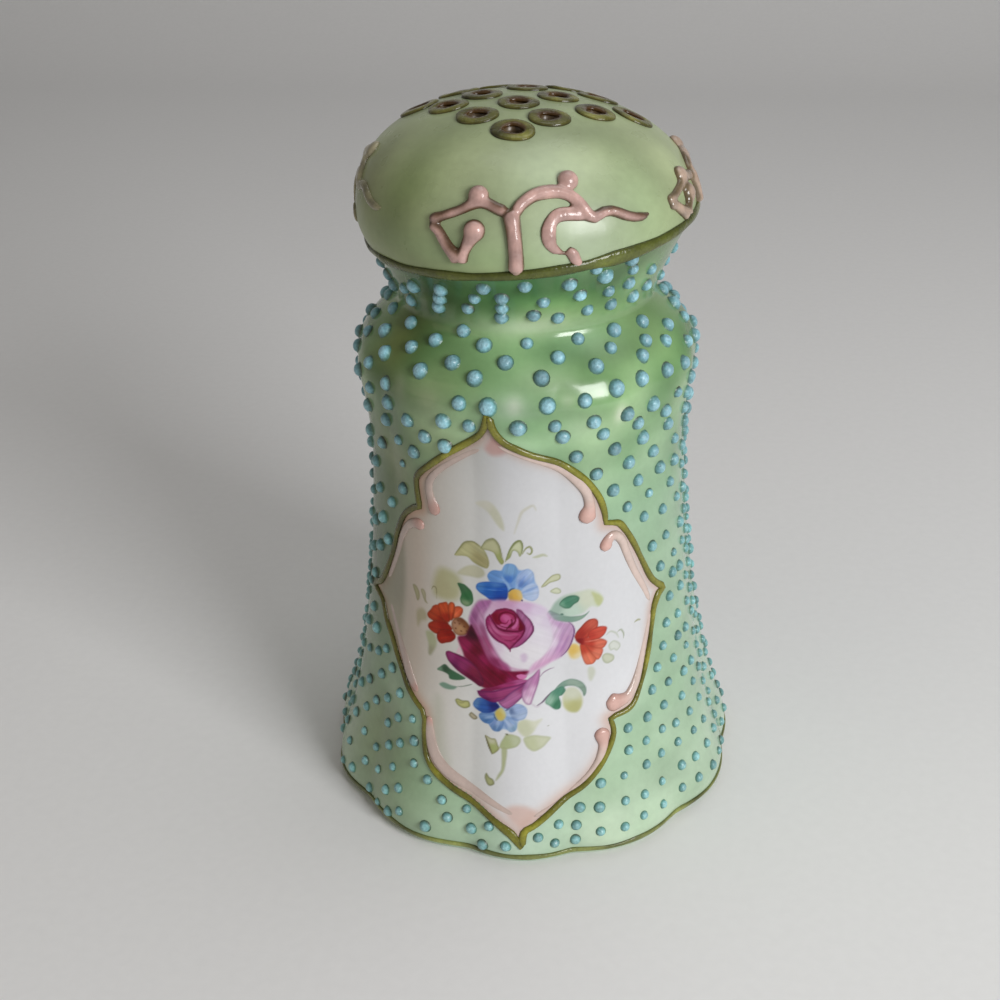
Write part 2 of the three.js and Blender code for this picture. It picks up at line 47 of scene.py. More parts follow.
# Sizes of the two castings, as the solids have them
skirt_height = 62.0
waist_rise = 18.0
shoulder_rise = 11.5
neck_rise = 10.8
cap_band_rise = 1.95
cap_dome_height = 16.75
cap_under_depth = 13.5
foot_radius = 36.85
waist_radius = 26.9
shoulder_radius = 28.3
neck_radius = 21.3
cap_radius = 26.95
wall_thickness = 3.0
flute_depth = 1.5
foot_rounding = 0.8
seam_gap = 0.3
shoulder_height = skirt_height + waist_rise
neck_height = shoulder_height + shoulder_rise
seam_height = neck_height + neck_rise
rim_height = seam_height - seam_gap / 2
cap_widest_height = seam_height + cap_band_rise
holder_height = cap_widest_height + cap_dome_height

# Lean of the cap, and of the seam under it
lean_pivot_drop = 4.3
lean_direction = 97.5
cap_lean = 3.0
seam_lean = 5.1

# Pin holes
pin_spacing = 0.2894 * cap_radius
pin_hole_radius = 1.45
pin_rim_radius = 2.25
pin_rim_half_width = 0.9
pin_rim_relief = 0.42

# Painted panel and its enamel
panel_middle_height = 42.0
panel_half_height = 38.3
panel_half_angle = 60.0
panel_line_half_width = 0.57
panel_line_relief = 0.5
panel_tip_swell = 0.35
panel_tip_reach = 1.8
panel_sheet_lift = 0.04
blush_half_width = 0.85
blush_relief = 0.62
foot_line_height = 1.5
foot_line_half_width = 0.5
foot_line_relief = 0.35
seam_line_half_width = 0.7
seam_line_spread = 1.15
seam_line_relief = 0.5
line_squareness = 0.8
rim_squareness = 0.5

# Scrolls on the cap
scroll_half_span = 50.0
scroll_rise = 10.3
scroll_half_width = 1.3
knob_radius = 1.6
enamel_gap = 0.3
enamel_depth = 0.25

# Grooves between the flutes
groove_angles = np.array([-79, -48, -11.5, 18, 52, 88, 120, 152.5, 184.5, 217, 249])
groove_softness = 0.16
# How deep the flutes are, up the holder
flute_shares = [
    (0, 1), (0.05, 0.9), (0.18, 0.55), (0.4, 0.35), (0.58, 0.4), (0.66, 0.45), (0.7, 0.2), (0.73, 0), (1, 0),
]

# Outline of the body, stretch by stretch: (share of its height, share of the way between its two radii)
skirt_shares = [
    (0, 0.97), (0.05, 1), (0.11, 0.91), (0.21, 0.69), (0.34, 0.48), (0.52, 0.28), (0.74, 0.11), (1, 0),
]
waist_shares = [(0.35, 0.04), (0.7, 0.5), (1, 1)]
shoulder_shares = [(0.3, 0.13), (0.5, 0.36), (0.7, 0.68), (0.85, 0.92), (1, 1)]
flare_shares = [(0.3, 0.2), (0.65, 0.58), (1, 1)]
# How square the cap's outline is above and below its widest line
dome_squareness = 2.29
under_squareness = 2.13

# Outline of the panel: eight arcs from a tip to a notch and on to the next tip,
# as (share of the half angle, share of the half height)
panel_shares = [
    [(-0.08, 1), (-0.05, 0.93), (0, 0.88), (0.07, 0.85), (0.15, 0.82), (0.3, 0.77), (0.43, 0.69), (0.52, 0.6),
     (0.56, 0.52), (0.57, 0.46)],
    [(0.62, 0.45), (0.67, 0.43), (0.74, 0.35), (0.82, 0.23), (0.89, 0.12), (0.94, 0.07), (1, 0.03)],
    [(0.95, 0.01), (0.91, -0.04), (0.88, -0.12), (0.83, -0.24), (0.76, -0.35), (0.68, -0.44), (0.57, -0.46)],
    [(0.54, -0.47), (0.55, -0.54), (0.49, -0.64), (0.38, -0.75), (0.25, -0.82), (0.13, -0.9), (0.08, -0.93),
     (0.07, -1)],
    [(0.02, -0.94), (-0.03, -0.91), (-0.14, -0.85), (-0.3, -0.78), (-0.42, -0.7), (-0.46, -0.6),
     (-0.47, -0.51)],
    [(-0.49, -0.47), (-0.59, -0.41), (-0.67, -0.33), (-0.77, -0.24), (-0.86, -0.16), (-0.92, -0.08),
     (-1.03, -0.05)],
    [(-1, -0.02), (-0.94, 0.01), (-0.88, 0.09), (-0.82, 0.2), (-0.77, 0.31), (-0.7, 0.41), (-0.65, 0.45),
     (-0.6, 0.48)],
    [(-0.55, 0.5), (-0.57, 0.6), (-0.55, 0.65), (-0.45, 0.72), (-0.32, 0.8), (-0.17, 0.88), (-0.12, 0.92),
     (-0.09, 0.97)],
]
# Blushes inside that line, each from its drop at a notch to its faint tail:
# (angle, height, share of the half width)
blush_strokes = [
    [(27.4, 60.2, 1.5), (27.5, 61.6, 1.7), (28.3, 63.1, 1.15), (28, 64.5, 1), (26.7, 66.2, 1), (23.9, 68, 1),
     (20.4, 69.7, 0.95), (16.6, 71, 0.85), (12.4, 72, 0.75), (8, 72.9, 0.65), (3.2, 73.9, 0.6),
     (-2, 75, 0.5)],
    [(33.5, 54.6, 1.15), (34, 55.6, 1.3), (35, 56.5, 1.1), (36.8, 57, 1), (39, 56.5, 0.95),
     (40.8, 55.2, 0.95), (42, 53.6, 0.9), (43.7, 51.5, 0.9), (46, 49, 0.85), (48.6, 46.6, 0.8),
     (51, 44.3, 0.7), (52.8, 42, 0.55)],
    [(31.4, 27.1, 1.6), (33.2, 26.9, 2), (36.2, 26.8, 1.5), (39, 27, 1.2), (41.2, 27.9, 1.15),
     (43.2, 29.2, 1.1), (44.9, 30.7, 1), (46.4, 32.3, 0.9), (48.5, 34.6, 0.8), (50.7, 37, 0.7),
     (52.8, 39.6, 0.5)],
    [(29.2, 22.8, 1.5), (29.2, 21.5, 1.6), (29.3, 19.8, 1.05), (28.2, 17.9, 0.9), (26.6, 16.3, 0.85),
     (24.1, 14.6, 0.85), (21.1, 13.1, 0.85), (17.8, 11.6, 0.8), (14.2, 10.4, 0.75), (10.8, 9.6, 0.65),
     (7.5, 9, 0.5)],
    [(-26.6, 23.4, 0.6), (-26, 20.8, 1.1), (-24.8, 18.4, 1.3), (-22.9, 16.5, 1.35), (-20.3, 15, 1.35),
     (-17, 13.8, 1.3), (-13.3, 12.8, 1.2), (-9, 11.8, 1.1), (-4.8, 10.8, 0.9), (-1, 9.9, 0.7), (2, 9.2, 0.5)],
    [(-32, 26.8, 0.6), (-34.2, 28, 1.05), (-36.2, 29.3, 1.25), (-38, 30.7, 1.25), (-40, 32.2, 1.2),
     (-42.1, 33.8, 1.1), (-44.6, 35.5, 0.95), (-47.2, 37.4, 0.8), (-49.8, 39.4, 0.6)],
    [(-31.2, 57.4, 0.9), (-33.2, 57.8, 1.2), (-36.8, 57.4, 0.95), (-40.4, 55.9, 0.85), (-43.2, 53.7, 0.8),
     (-45.3, 51.2, 0.8), (-47.6, 48.6, 0.75), (-49.8, 46.2, 0.65), (-51.8, 44, 0.5)],
    [(-26, 60.5, 1.1), (-26.7, 61.8, 1.3), (-27.9, 63.3, 1), (-28.6, 64.8, 0.9), (-28, 66.5, 0.8),
     (-25.6, 68.1, 0.7), (-21.8, 69.8, 0.65), (-17.2, 71.4, 0.6), (-12.8, 72.8, 0.55), (-8.2, 74, 0.45)],
]
# How far each blush stands up, and how dark it is: the four on the left are darker, as painted shade
blush_heights = [1, 1, 1, 1, 0.42, 0.42, 0.7, 0.7]
blush_shade_shares = [1, 1, 1, 1, 0.96, 0.92, 0.92, 0.9]

# Strokes of a scroll, with the drop beside it last:
# (share of the half span, share of the rise, share of the half width)
scroll_stroke_shares = [
    [(0.05, -0.1, 1.04), (0.045, 0.15, 0.92), (0.035, 0.35, 0.9), (0.02, 0.55, 0.95), (0.005, 0.68, 1),
     (-0.015, 0.75, 0.8)],
    [(0.02, 0.62, 0.8), (0.04, 0.785, 0.75), (0.085, 0.88, 0.75), (0.15, 0.955, 0.8), (0.235, 0.99, 0.85),
     (0.32, 0.99, 0.8), (0.39, 0.945, 0.75), (0.445, 0.86, 0.75), (0.48, 0.765, 0.75), (0.51, 0.69, 0.75),
     (0.545, 0.67, 0.7), (0.59, 0.71, 0.65), (0.64, 0.735, 0.65), (0.695, 0.71, 0.65), (0.76, 0.65, 0.65),
     (0.835, 0.6, 0.6), (0.91, 0.585, 0.55), (0.965, 0.61, 0.42)],
    [(0, 0.69, 0.8), (-0.05, 0.75, 0.75), (-0.095, 0.78, 0.7), (-0.135, 0.81, 0.7), (-0.185, 0.835, 0.75),
     (-0.23, 0.83, 0.8), (-0.275, 0.78, 0.7), (-0.325, 0.715, 0.6), (-0.39, 0.65, 0.6), (-0.45, 0.59, 0.6),
     (-0.5, 0.54, 0.7), (-0.525, 0.475, 0.6)],
    [(-0.515, 0.5, 0.6), (-0.5, 0.45, 0.65), (-0.46, 0.39, 0.65), (-0.425, 0.3, 0.7), (-0.385, 0.19, 0.75),
     (-0.34, 0.095, 0.85), (-0.305, 0, 0.95)],
    [(-0.305, 0, 0.95), (-0.28, 0.16, 0.7), (-0.255, 0.3, 0.8), (-0.23, 0.41, 1), (-0.215, 0.5, 0.9)],
    [(0.5, 0.645, 0.7), (0.435, 0.715, 0.78), (0.37, 0.735, 0.85), (0.305, 0.72, 0.85), (0.26, 0.65, 0.78),
     (0.24, 0.53, 0.92), (0.245, 0.4, 0.85), (0.27, 0.295, 0.62), (0.315, 0.235, 0.5), (0.36, 0.2, 0.5)],
    [(0.35, 0.21, 0.5), (0.385, 0.18, 0.55), (0.405, 0.14, 0.66), (0.425, 0.09, 0.6), (0.445, 0.03, 0.4)],
    [(0.36, 0.28, 0.4), (0.39, 0.22, 0.6), (0.43, 0.15, 0.45)],
]
scroll_stroke_heights = [1, 1, 0.9, 0.9, 1, 0.62, 0.8, 0.8]
knob_shares = [(-0.23, 0.905, 0.98), (0.395, 1.11, 1), (-0.222, 0.47, 1.05)]
# The four scrolls: (name, centre in quarter turns, share of the rise, share that it is lifted by, wear)
scroll_place_shares = [
    ("front", 0.02, 1, 0.04, 0), ("right", 0.97, 0.56, 0, 0.35), ("back", 2.02, 0.95, 0.12, 0.2),
    ("left", -1.06, 1, 0.2, 0.8),
]
# Pin holes, in steps of their spacing to the right and to the back
pin_place_shares = [
    (-0.1, -1.7), (0.5, -1.08), (1.32, -0.36), (2.02, 0.28),
    (-0.88, -1.1), (-0.17, -0.42), (0.52, 0.26), (1.27, 1),
    (-1.56, -0.4), (-0.98, 0.22), (-0.17, 1), (0.53, 1.7),
    (-2.25, 0.26), (-1.57, 0.98), (-0.87, 1.68), (-0.18, 2.38),
]

# Beads: rings of them at an even pitch, as (height, first angle, beads, radius)
bead_rows = {
    "neck": [(99.5, 7.5, 25, 1.08), (96.7, 0, 28, 1.08), (94.2, -2, 30, 1.08)],
    "shoulder": [(89.6, 8.5, 20, 1.2), (87.4, 0, 19, 1.2), (85.5, -9, 18, 1.2), (82, 14, 32, 1.15)],
    "waist": [(78.3, 4.4, 30, 1.12), (75.8, 18.5, 26, 1.12), (72.5, 24.4, 28, 1.1), (69, 30, 28, 1.1),
              (65, 38, 33, 1.05)],
    "skirt": [
        (61.5, 43, 30, 0.95), (57.3, 51, 36, 0.92), (52, 55, 40, 0.88), (47.8, 58.6, 42, 0.88),
        (44.3, 65, 44, 0.85), (40.5, 62.7, 45, 0.83), (36.2, 59.3, 44, 0.83), (32.3, 57, 45, 0.82),
        (28.9, 53.2, 40, 0.82),
    ],
    "foot": [
        (25.2, 50, 45, 0.82), (21.4, 46.4, 44, 0.82), (17.5, 37.4, 49, 0.82), (13.2, 35, 48, 0.82),
        (9.3, 33.5, 49, 0.82), (5.1, 32.9, 50, 0.82),
    ],
}
# Beads set one by one: on the shoulder and neck in front, and between the rows
# below, as (angle, height, radius)
bead_singles = [
    (-38.6, 98, 1.05), (-24, 98.8, 1.05), (-26.5, 96.6, 1.05), (-29, 94.4, 1.05), (-6.6, 99.9, 1.05),
    (-11, 97.6, 1.05), (-15, 95.2, 1.05), (-0.8, 97.8, 1.05), (-1.3, 95.7, 1.05), (-2, 93.8, 1.05),
    (7.4, 100, 1.1), (14, 96.6, 1.05), (10.6, 94.2, 1.05), (22.4, 99.4, 1.1), (27.4, 97, 1.05),
    (20.2, 93.4, 1.1), (32.2, 94, 1.1), (35.2, 99.4, 1.1), (39.4, 96.5, 1.1), (43, 94, 1.1), (30.6, 101.2, 1),
    (44, 101, 1.05), (47.2, 99, 1), (48.4, 96.8, 1.05), (55, 94, 1.1), (-48, 96, 1.05), (-46, 93.6, 1.05),
    (60, 97.4, 1.05), (63, 94.8, 1.05), (-58.4, 87.2, 1.2), (-46.6, 89.6, 1.2), (-39, 87.2, 1.2),
    (-30, 88.8, 1.2), (-18.8, 90.7, 1.15), (-9, 89.2, 1.2), (7.8, 89.6, 1.15), (28.4, 89.6, 1.2),
    (45.2, 89.6, 1.2), (61.4, 89.2, 1.2), (74, 87.2, 1.15), (56.6, 87.2, 1.1), (66, 86, 1.1),
    (79.4, 83.8, 1.1), (-50, 85.2, 1.2), (-30.4, 85, 1.2), (-19.4, 86.8, 1.2), (0, 87.4, 1.2),
    (19, 87.8, 1.2), (32, 86.2, 1.2), (40.2, 87.8, 1.1), (51.4, 85.8, 1.15), (-10, 85.4, 1.2),
    (12.4, 85.6, 1.2), (37, 82.9, 1.2), (47.6, 83, 1.15), (59.8, 82.6, 1.15), (70.4, 82, 1.15),
    (-44.8, 81.2, 1.15), (-14.4, 81.6, 1.15), (-4.8, 81.6, 1.2), (13.8, 81.8, 1.2), (25.8, 82, 1.15),
    (-57, 82.6, 1.15), (-44.4, 78, 1.15), (-11.3, 78, 1.15), (-34.4, 76.6, 1.15), (-27.8, 74.6, 1.15),
    (-20.4, 73.7, 1.15), (-55.6, 78.6, 1.1), (-64.8, 80, 1.1), (-48.8, 74, 1.1), (-61, 74.4, 1.1),
    (-42, 71.6, 0.8), (-33.8, 70.9, 1.15), (-54.2, 68.8, 1.1), (-66.4, 68.6, 1.1), (-41.3, 67.4, 0.75),
    (-61.8, 63.8, 1.05), (-41.9, 62.7, 1.15), (-58.6, 59.6, 1.05), (-50, 58.6, 1.1), (-66.4, 57.4, 1),
    (-56, 54.6, 1.05), (-62.6, 52.6, 1), (-52.2, 51.2, 1.05), (-58, 48.8, 1), (-65.2, 46.8, 1),
    (-62, 42.4, 1), (-66.6, 39.6, 0.88), (-61.4, 35.8, 0.88), (-57.6, 32.6, 1), (-65.6, 31.8, 0.88),
    (-50.6, 30.3, 0.88), (-55, 28.7, 0.88), (-61.4, 27.4, 0.88), (-45.8, 27.8, 0.88), (-51.8, 25, 0.88),
    (-58.4, 22, 0.88), (-47, 21.5, 0.88), (-52.8, 19.4, 0.88), (-39.6, 19.9, 0.88), (-64.6, 19.2, 0.88),
    (-57.6, 16.6, 0.88), (-63.4, 13.4, 0.88), (-42.2, 13.8, 0.88), (-55.8, 12.2, 0.88), (-38.4, 10.9, 0.86),
    (-62, 8, 0.86), (-51.9, 7.6, 0.86), (-45, 8.2, 0.86), (-39.2, 6.4, 0.86), (-57, 4.4, 0.86),
    (-48, 3.4, 0.86), (-63.6, 3.2, 0.86), (-42.6, 2.6, 0.86), (20.7, 9.3, 0.86), (26.2, 9, 0.86),
    (14.3, 7, 0.86), (19.3, 6.3, 0.86), (8.5, 5.3, 0.86), (13, 3.8, 0.86), (18.8, 3.7, 0.86),
    (25.8, 4.8, 0.86), (-0.2, 3.6, 0.86), (-6.7, 2.9, 0.86), (-5, 6.6, 0.86), (-10.2, 5.3, 0.86),
    (-12, 8.5, 0.86), (-17.3, 6.5, 0.86), (-19.5, 9.3, 0.86), (-23.5, 3.9, 0.86), (-24.8, 12, 0.86),
    (-30.2, 13.8, 0.86), (-31.3, 17.7, 0.86), (-33, 21.4, 0.86), (-34.2, 8.3, 0.86), (-32.5, 4.5, 0.86),
    (-37, 2.9, 0.86), (-37, 15.8, 0.86), (-40, 24.5, 0.86), (-44.7, 17.3, 0.86), (-48.8, 11.2, 0.86),
]
# Where all beads are set one by one: (low angle, high angle, low height, high height)
bead_windows = [(-62, 81, 80.5, 110), (-68, -24, 0, 80.5)]
bead_clearance = 1.6
bead_elbow_room = 3.3
# Rings of a bead, from under the glaze up: (share of its radius outward, share upward, colour, dirt). The
# colour is darker at the foot, as painted shade, and lighter towards the top, as a painted highlight.
bead_rings = [
    (1.2, -0.15, (70, 104, 84), 1), (1.06, 0.03, (80, 118, 106), 0.9), (0.96, 0.14, (92, 136, 134), 0.5),
    (0.9, 0.34, (110, 156, 164), 0.15), (0.76, 0.56, (122, 168, 180), 0), (0.54, 0.73, (134, 178, 190), 0),
    (0.27, 0.83, (140, 182, 194), 0),
]
bead_top_share = 0.87
bead_sides = 14
bead_dirt = (58, 46, 26)
# How the beads are toned: by height, for red, green and blue
bead_height_shares = [
    (10, (0.97, 1, 0.94)), (50, (0.95, 0.99, 0.94)), (75, (0.98, 0.98, 0.97)), (85, (1, 1, 1)),
]

# The looks: mottles as (waves to a millimetre, strength), roughness, height of the
# ripple, its waves to a millimetre, weight of the coat, and specular level
looks = {
    "body_glaze": ([(0.12, 0.06), (0.9, 0.03)], 0.12, 0.05, 0.25, 0.2, 0.4),
    "panel_glaze": ([(0.1, 0.02), (1.2, 0.015)], 0.14, 0.04, 0.3, 0.06, 0.14),
    "cap_glaze": ([(0.15, 0.06), (0.8, 0.04)], 0.26, 0.06, 0.3, 0.05, 0.5),
    "line_enamel": ([(0.4, 0.2), (2.5, 0.15)], 0.2, 0.12, 1.2, 0.12, 0.4),
    "scroll_glaze": ([(0.3, 0.12), (1.5, 0.08)], 0.2, 0.1, 0.9, 0.3, 0.5),
    "blush_glaze": ([(0.4, 0.06), (1.5, 0.04)], 0.12, 0.06, 0.8, 0.25, 0.4),
    "bead_glaze": ([(0.2, 0.14), (2, 0.24)], 0.28, 0.16, 2, 0.06, 0.5),
}

# Greens of the body by height, and brushed tints over them, among which are painted highlights and
# reflections on the shoulder and neck, and painted shade on the left side:
# (angle, height, reach in degrees, reach in height, colour, strength)
body_greens = [
    (0, (184, 208, 186)), (8, (178, 204, 182)), (25, (166, 196, 172)), (45, (158, 188, 164)),
    (60, (148, 182, 154)), (72, (142, 176, 140)), (80, (130, 168, 122)), (86, (114, 154, 102)),
    (92, (122, 156, 106)), (98, (110, 150, 96)), (104, (92, 112, 64)),
]
body_tints_and_painted_light = [
    (-4, 101, 34, 4.5, (62, 108, 64), 0.85), (25, 101, 16, 3.4, (70, 112, 70), 0.65),
    (60, 99, 26, 5, (92, 136, 88), 0.4), (-28, 96.5, 16, 3.6, (50, 74, 40), 0.9),
    (-4, 97, 13, 3.5, (84, 122, 76), 0.5), (-8, 87.5, 20, 3, (108, 152, 98), 0.55),
    # (30, 89) and (17, 85.4): painted highlights on the shoulder
    (30, 89, 18, 2.6, (160, 190, 166), 0.65), (17, 85.4, 11, 2.2, (190, 210, 180), 0.75),
    # (14, 92.2): a painted reflection, a pale band round the neck
    (-22, 73.5, 15, 5, (116, 138, 94), 0.55), (14, 92.2, 24, 1.8, (176, 198, 168), 0.6),
    (-28, 81, 14, 4, (168, 182, 152), 0.65), (4, 81.5, 9, 2.2, (184, 202, 184), 0.6),
    (24, 78, 8, 3, (178, 204, 178), 0.5), (-46, 89, 12, 7, (112, 126, 58), 0.7),
    # (-24, 84.6) and (-25, 81) below it: painted highlights on the left shoulder
    (-20, 84.5, 9, 2.2, (130, 168, 106), 0.5), (-24, 84.6, 8, 2.8, (184, 208, 158), 0.75),
    (-25, 81, 5, 2.2, (196, 198, 172), 0.65), (46, 83, 14, 5, (128, 164, 122), 0.4),
    # (-48, 64) and (-60, 44): painted shade and a dark painted reflection down the left side
    (-48, 64, 16, 12, (112, 122, 82), 0.65), (-60, 44, 13, 18, (90, 110, 84), 0.8),
    (-45, 14, 16, 8, (128, 144, 104), 0.6), (-22, 8, 22, 9, (158, 188, 154), 0.7),
    (66, 88, 14, 5, (110, 146, 96), 0.4), (3.6, 81.8, 2.6, 1.4, (206, 214, 200), 0.8),
    (20.5, 82.3, 3.2, 1.1, (198, 210, 192), 0.6), (37.8, 78.8, 2.2, 1.5, (204, 214, 200), 0.7),
    (31, 82.8, 3, 1, (200, 214, 196), 0.5), (-37, 82, 3.4, 2, (198, 200, 188), 0.6),
    (150, 90, 60, 9, (110, 146, 88), 0.5),
]
# Painted shade round the body, darker away from the front and most on the left: (angle, share of red, green
# and blue)
body_side_shade_shares = [
    (-180, (0.97, 0.97, 0.97)), (-80, (0.94, 0.93, 0.88)), (-45, (0.91, 0.9, 0.84)),
    (-25, (0.96, 0.96, 0.93)), (0, (1, 1, 1)), (26, (1, 0.99, 0.95)), (60, (0.93, 0.93, 0.89)),
    (110, (0.95, 0.95, 0.93)), (180, (0.97, 0.97, 0.97)),
]
inside_colour = (214, 208, 196)

# Greens of the cap by height, and tints over them: darker on the left, as painted shade, lighter to the right
# and on top, and darker near the seam in front
cap_greens = [
    (100, (142, 156, 106)), (104, (150, 166, 122)), (110, (156, 168, 128)), (116, (160, 172, 132)),
    (121, (156, 170, 128)),
]
cap_tints_and_painted_shade = [
    (-38, 111, 12, 6, (112, 130, 76), 0.6), (-62, 108, 14, 7, (120, 124, 84), 0.5),
    (-14, 107, 16, 4, (140, 158, 120), 0.5), (48, 111, 14, 7, (140, 162, 120), 0.5),
    (22, 108, 22, 8, (164, 180, 158), 0.5), (12, 115.5, 16, 4, (164, 180, 150), 0.5),
    (-5, 104, 26, 2.2, (134, 158, 110), 0.4), (24, 106, 12, 2.6, (160, 176, 148), 0.5),
    (150, 110, 50, 7, (140, 158, 112), 0.4),
]
# Painted shade: dark brown on the walls of the pin holes, and a darker inside of the cap, so that the holes
# look dark
bore_shade_colour = (72, 52, 26)
cap_inside_shade_colour = (132, 118, 94)

# Enamels, each from the foot of its ridge to the crest: darker at the foot, as painted shade, and lighter on
# the crest, as a painted highlight. The scrolls' brown is partly grime and partly painted shade.
panel_line_inks = (82, 80, 24), (122, 120, 42)
foot_line_inks = (88, 96, 50), (124, 130, 74)
seam_line_inks = (60, 66, 20), (98, 106, 42)
pin_rim_inks = (56, 50, 22), (102, 102, 46)
# Brown painted shade of the hole, on the inside of each pin rim
pin_rim_hole_shade_ink = (72, 50, 24)
drop_inks = (172, 130, 120), (206, 168, 158)
blush_inks = (170, 152, 142), (204, 184, 175)
scroll_inks = (84, 60, 42), (182, 148, 140)
scroll_worn_ink = (142, 146, 112)

# Camera, and lamps as (name, place, size, power, colour)
camera_place = (30.2, -229.2, 177.8)
camera_yaw, camera_pitch, camera_roll = -8.76, 28.79, -1.56
lens_length = 54
sensor_width = 36
lamp_target = (0, 0, 60)
lamps = [
    ("key", (430, -400, 300), (260, 260), 3.15, (1, 1, 1)),
    ("fill", (-420, -300, 200), (400, 300), 0.17, (1, 0.8, 0.6)),
    ("top", (100, 100, 620), (400, 400), 0.65, (1, 1, 1)),
]
sky_colour = (1, 0.97, 0.93, 1)
sky_strength = 0.2

draw = np.random.default_rng(11)


# Curves and surfaces

def spline(points, steps):
    """Points along a smooth curve through the given points."""
    points = np.asarray(points, float)
    last = len(points) - 1
    place = np.linspace(0, last, steps + 1)
    index = np.minimum(place.astype(int), last - 1)
    share = (place - index)[:, None]
    before, start = points[np.maximum(index - 1, 0)], points[index]
    end, after = points[index + 1], points[np.minimum(index + 2, last)]
    leave, arrive = (end - before) / 2, (after - start) / 2
    return (
        (2 * start - 2 * end + leave + arrive) * share**3
        + (-3 * start + 3 * end - 2 * leave - arrive) * share**2
        + leave * share + start
    )


def spaced(points, shares, steps=400):
    """Places at shares of the length of the smooth curve through the points."""
    curve = spline(points, steps)
    lengths = np.concatenate([[0], np.cumsum(np.linalg.norm(np.diff(curve, axis=0), axis=1))])
    wanted = np.asarray(shares) * lengths[-1]
    return np.stack([np.interp(wanted, lengths, curve[:, axis]) for axis in range(curve.shape[1])], axis=-1)


def read_table(table, place):
    """Value of a smooth table of (place, value) pairs at each place."""
    curve = spline(table, 40 * len(table))
    return np.interp(place, np.maximum.accumulate(curve[:, 0]), curve[:, 1])


def colour_table(table, place):
    """Colour at each place, from a table of (place, colour) rows."""
    places = [row[0] for row in table]
    return np.stack([np.interp(place, places, [row[1][i] for row in table]) for i in range(3)], axis=-1)


def smoothstep(value, low, high):
    share = np.clip((value - low) / (high - low), 0, 1)
    return share * share * (3 - 2 * share)


def blend(start, end, share):
    start = np.asarray(start, float)
    return start + (np.array(end) - start) * share


def unit(vectors):
    return vectors / np.linalg.norm(vectors, axis=-1, keepdims=True)


def turns(sides):
    """Equal turns round a circle."""
    return np.arange(sides) * 2 * math.pi / sides


def ring_point(angle, radius, height):
    turn = np.radians(angle)
    x, y, z = np.broadcast_arrays(radius * np.sin(turn), -radius * np.cos(turn), height)
    return np.stack([x, y, z], axis=-1).astype(float)


def angle_of(points):
    return np.degrees(np.arctan2(points[:, 0], -points[:, 1]))


def body_stations():
    """Outline of the body's wall as (radius, height) points, from the foot to the rim."""
    stretches = [
        (skirt_shares, (waist_radius, 0), (foot_radius, skirt_height)),
        (waist_shares, (waist_radius, skirt_height), (shoulder_radius, shoulder_height)),
        (shoulder_shares, (shoulder_radius, shoulder_height), (neck_radius, neck_height)),
        (flare_shares, (neck_radius, neck_height), (cap_radius, rim_height)),
    ]
    return [
        (low[0] + turn * (high[0] - low[0]), low[1] + rise * (high[1] - low[1]))
        for shares, low, high in stretches for rise, turn in shares
    ]


wall_curve = spline(body_stations(), 900)
grooves = np.append(groove_angles, groove_angles[0] + 360)


def flute_dip(angle, height):
    """How far the wall lies in from its crests, deepest at the grooves."""
    along = grooves[0] + (angle - grooves[0]) % 360
    index = np.clip(np.searchsorted(grooves, along, side="right") - 1, 0, len(grooves) - 2)
    share = (along - grooves[index]) / (grooves[index + 1] - grooves[index])
    crest = np.sqrt(np.sin(np.pi * share) ** 2 + groove_softness**2)
    full = math.sqrt(1 + groove_softness**2)
    return flute_depth * read_table(flute_shares, height / holder_height) * (full - crest)


lean_side = ring_point(lean_direction, 1, 0)
cap_turn = np.array(Matrix.Rotation(math.radians(cap_lean), 3, Vector(ring_point(lean_direction + 90, 1, 0))))
cap_pivot = np.array([0, 0, seam_height - lean_pivot_drop])


def from_cap(points):
    """From the cap's own upright frame to the holder's."""
    return (points - cap_pivot) @ cap_turn.T + cap_pivot


def to_cap(points):
    return (points - cap_pivot) @ cap_turn + cap_pivot


def cap_reach(height):
    above = height > cap_widest_height
    power = np.where(above, dome_squareness, under_squareness)
    return power, np.where(above, cap_dome_height, cap_under_depth)


def cap_radius_at(height, inset=0.0):
    """Radius of the cap's glaze at a height in its own frame, or of the wall behind it."""
    power, reach = cap_reach(height)
    share = np.clip(np.abs(height - cap_widest_height) / (reach - inset), 0, 1)
    return (cap_radius - inset) * (1 - share**power) ** (1 / power)


def cap_normal(points):
    """Outward direction of the cap's glaze at points in its own frame."""
    power, reach = cap_reach(points[..., 2])
    rise = points[..., 2] - cap_widest_height
    radius = np.linalg.norm(points[..., :2], axis=-1)
    out = (radius / cap_radius) ** (power - 1) / cap_radius
    up = np.sign(rise) * (np.abs(rise) / reach) ** (power - 1) / reach
    flat = points[..., :2] / np.maximum(radius, 1e-6)[..., None] * out[..., None]
    return unit(np.concatenate([flat, up[..., None]], axis=-1))


def cap_top_point(x, y):
    share = np.clip(np.hypot(x, y) / cap_radius, 0, 1)
    rise = cap_dome_height * (1 - share**dome_squareness) ** (1 / dome_squareness)
    return np.stack(np.broadcast_arrays(x, y, cap_widest_height + rise), axis=-1)


def seam_height_at(points):
    return seam_height + math.tan(math.radians(seam_lean)) * (points @ np.append(lean_side[:2], 0))


def seam_point(angle):
    """Where the cap's glaze meets the seam, in the holder's frame."""
    points = ring_point(angle, cap_radius, 0)
    for _ in range(8):
        points[..., 2] = seam_height_at(points)
        own = to_cap(points)
        change = cap_radius_at(own[..., 2]) / np.linalg.norm(own[..., :2], axis=-1)
        points[..., :2] *= change[..., None]
    points[..., 2] = seam_height_at(points)
    return points


seam_angles = np.arange(-180, 541)
seam_radii = np.linalg.norm(seam_point(seam_angles)[:, :2], axis=1)


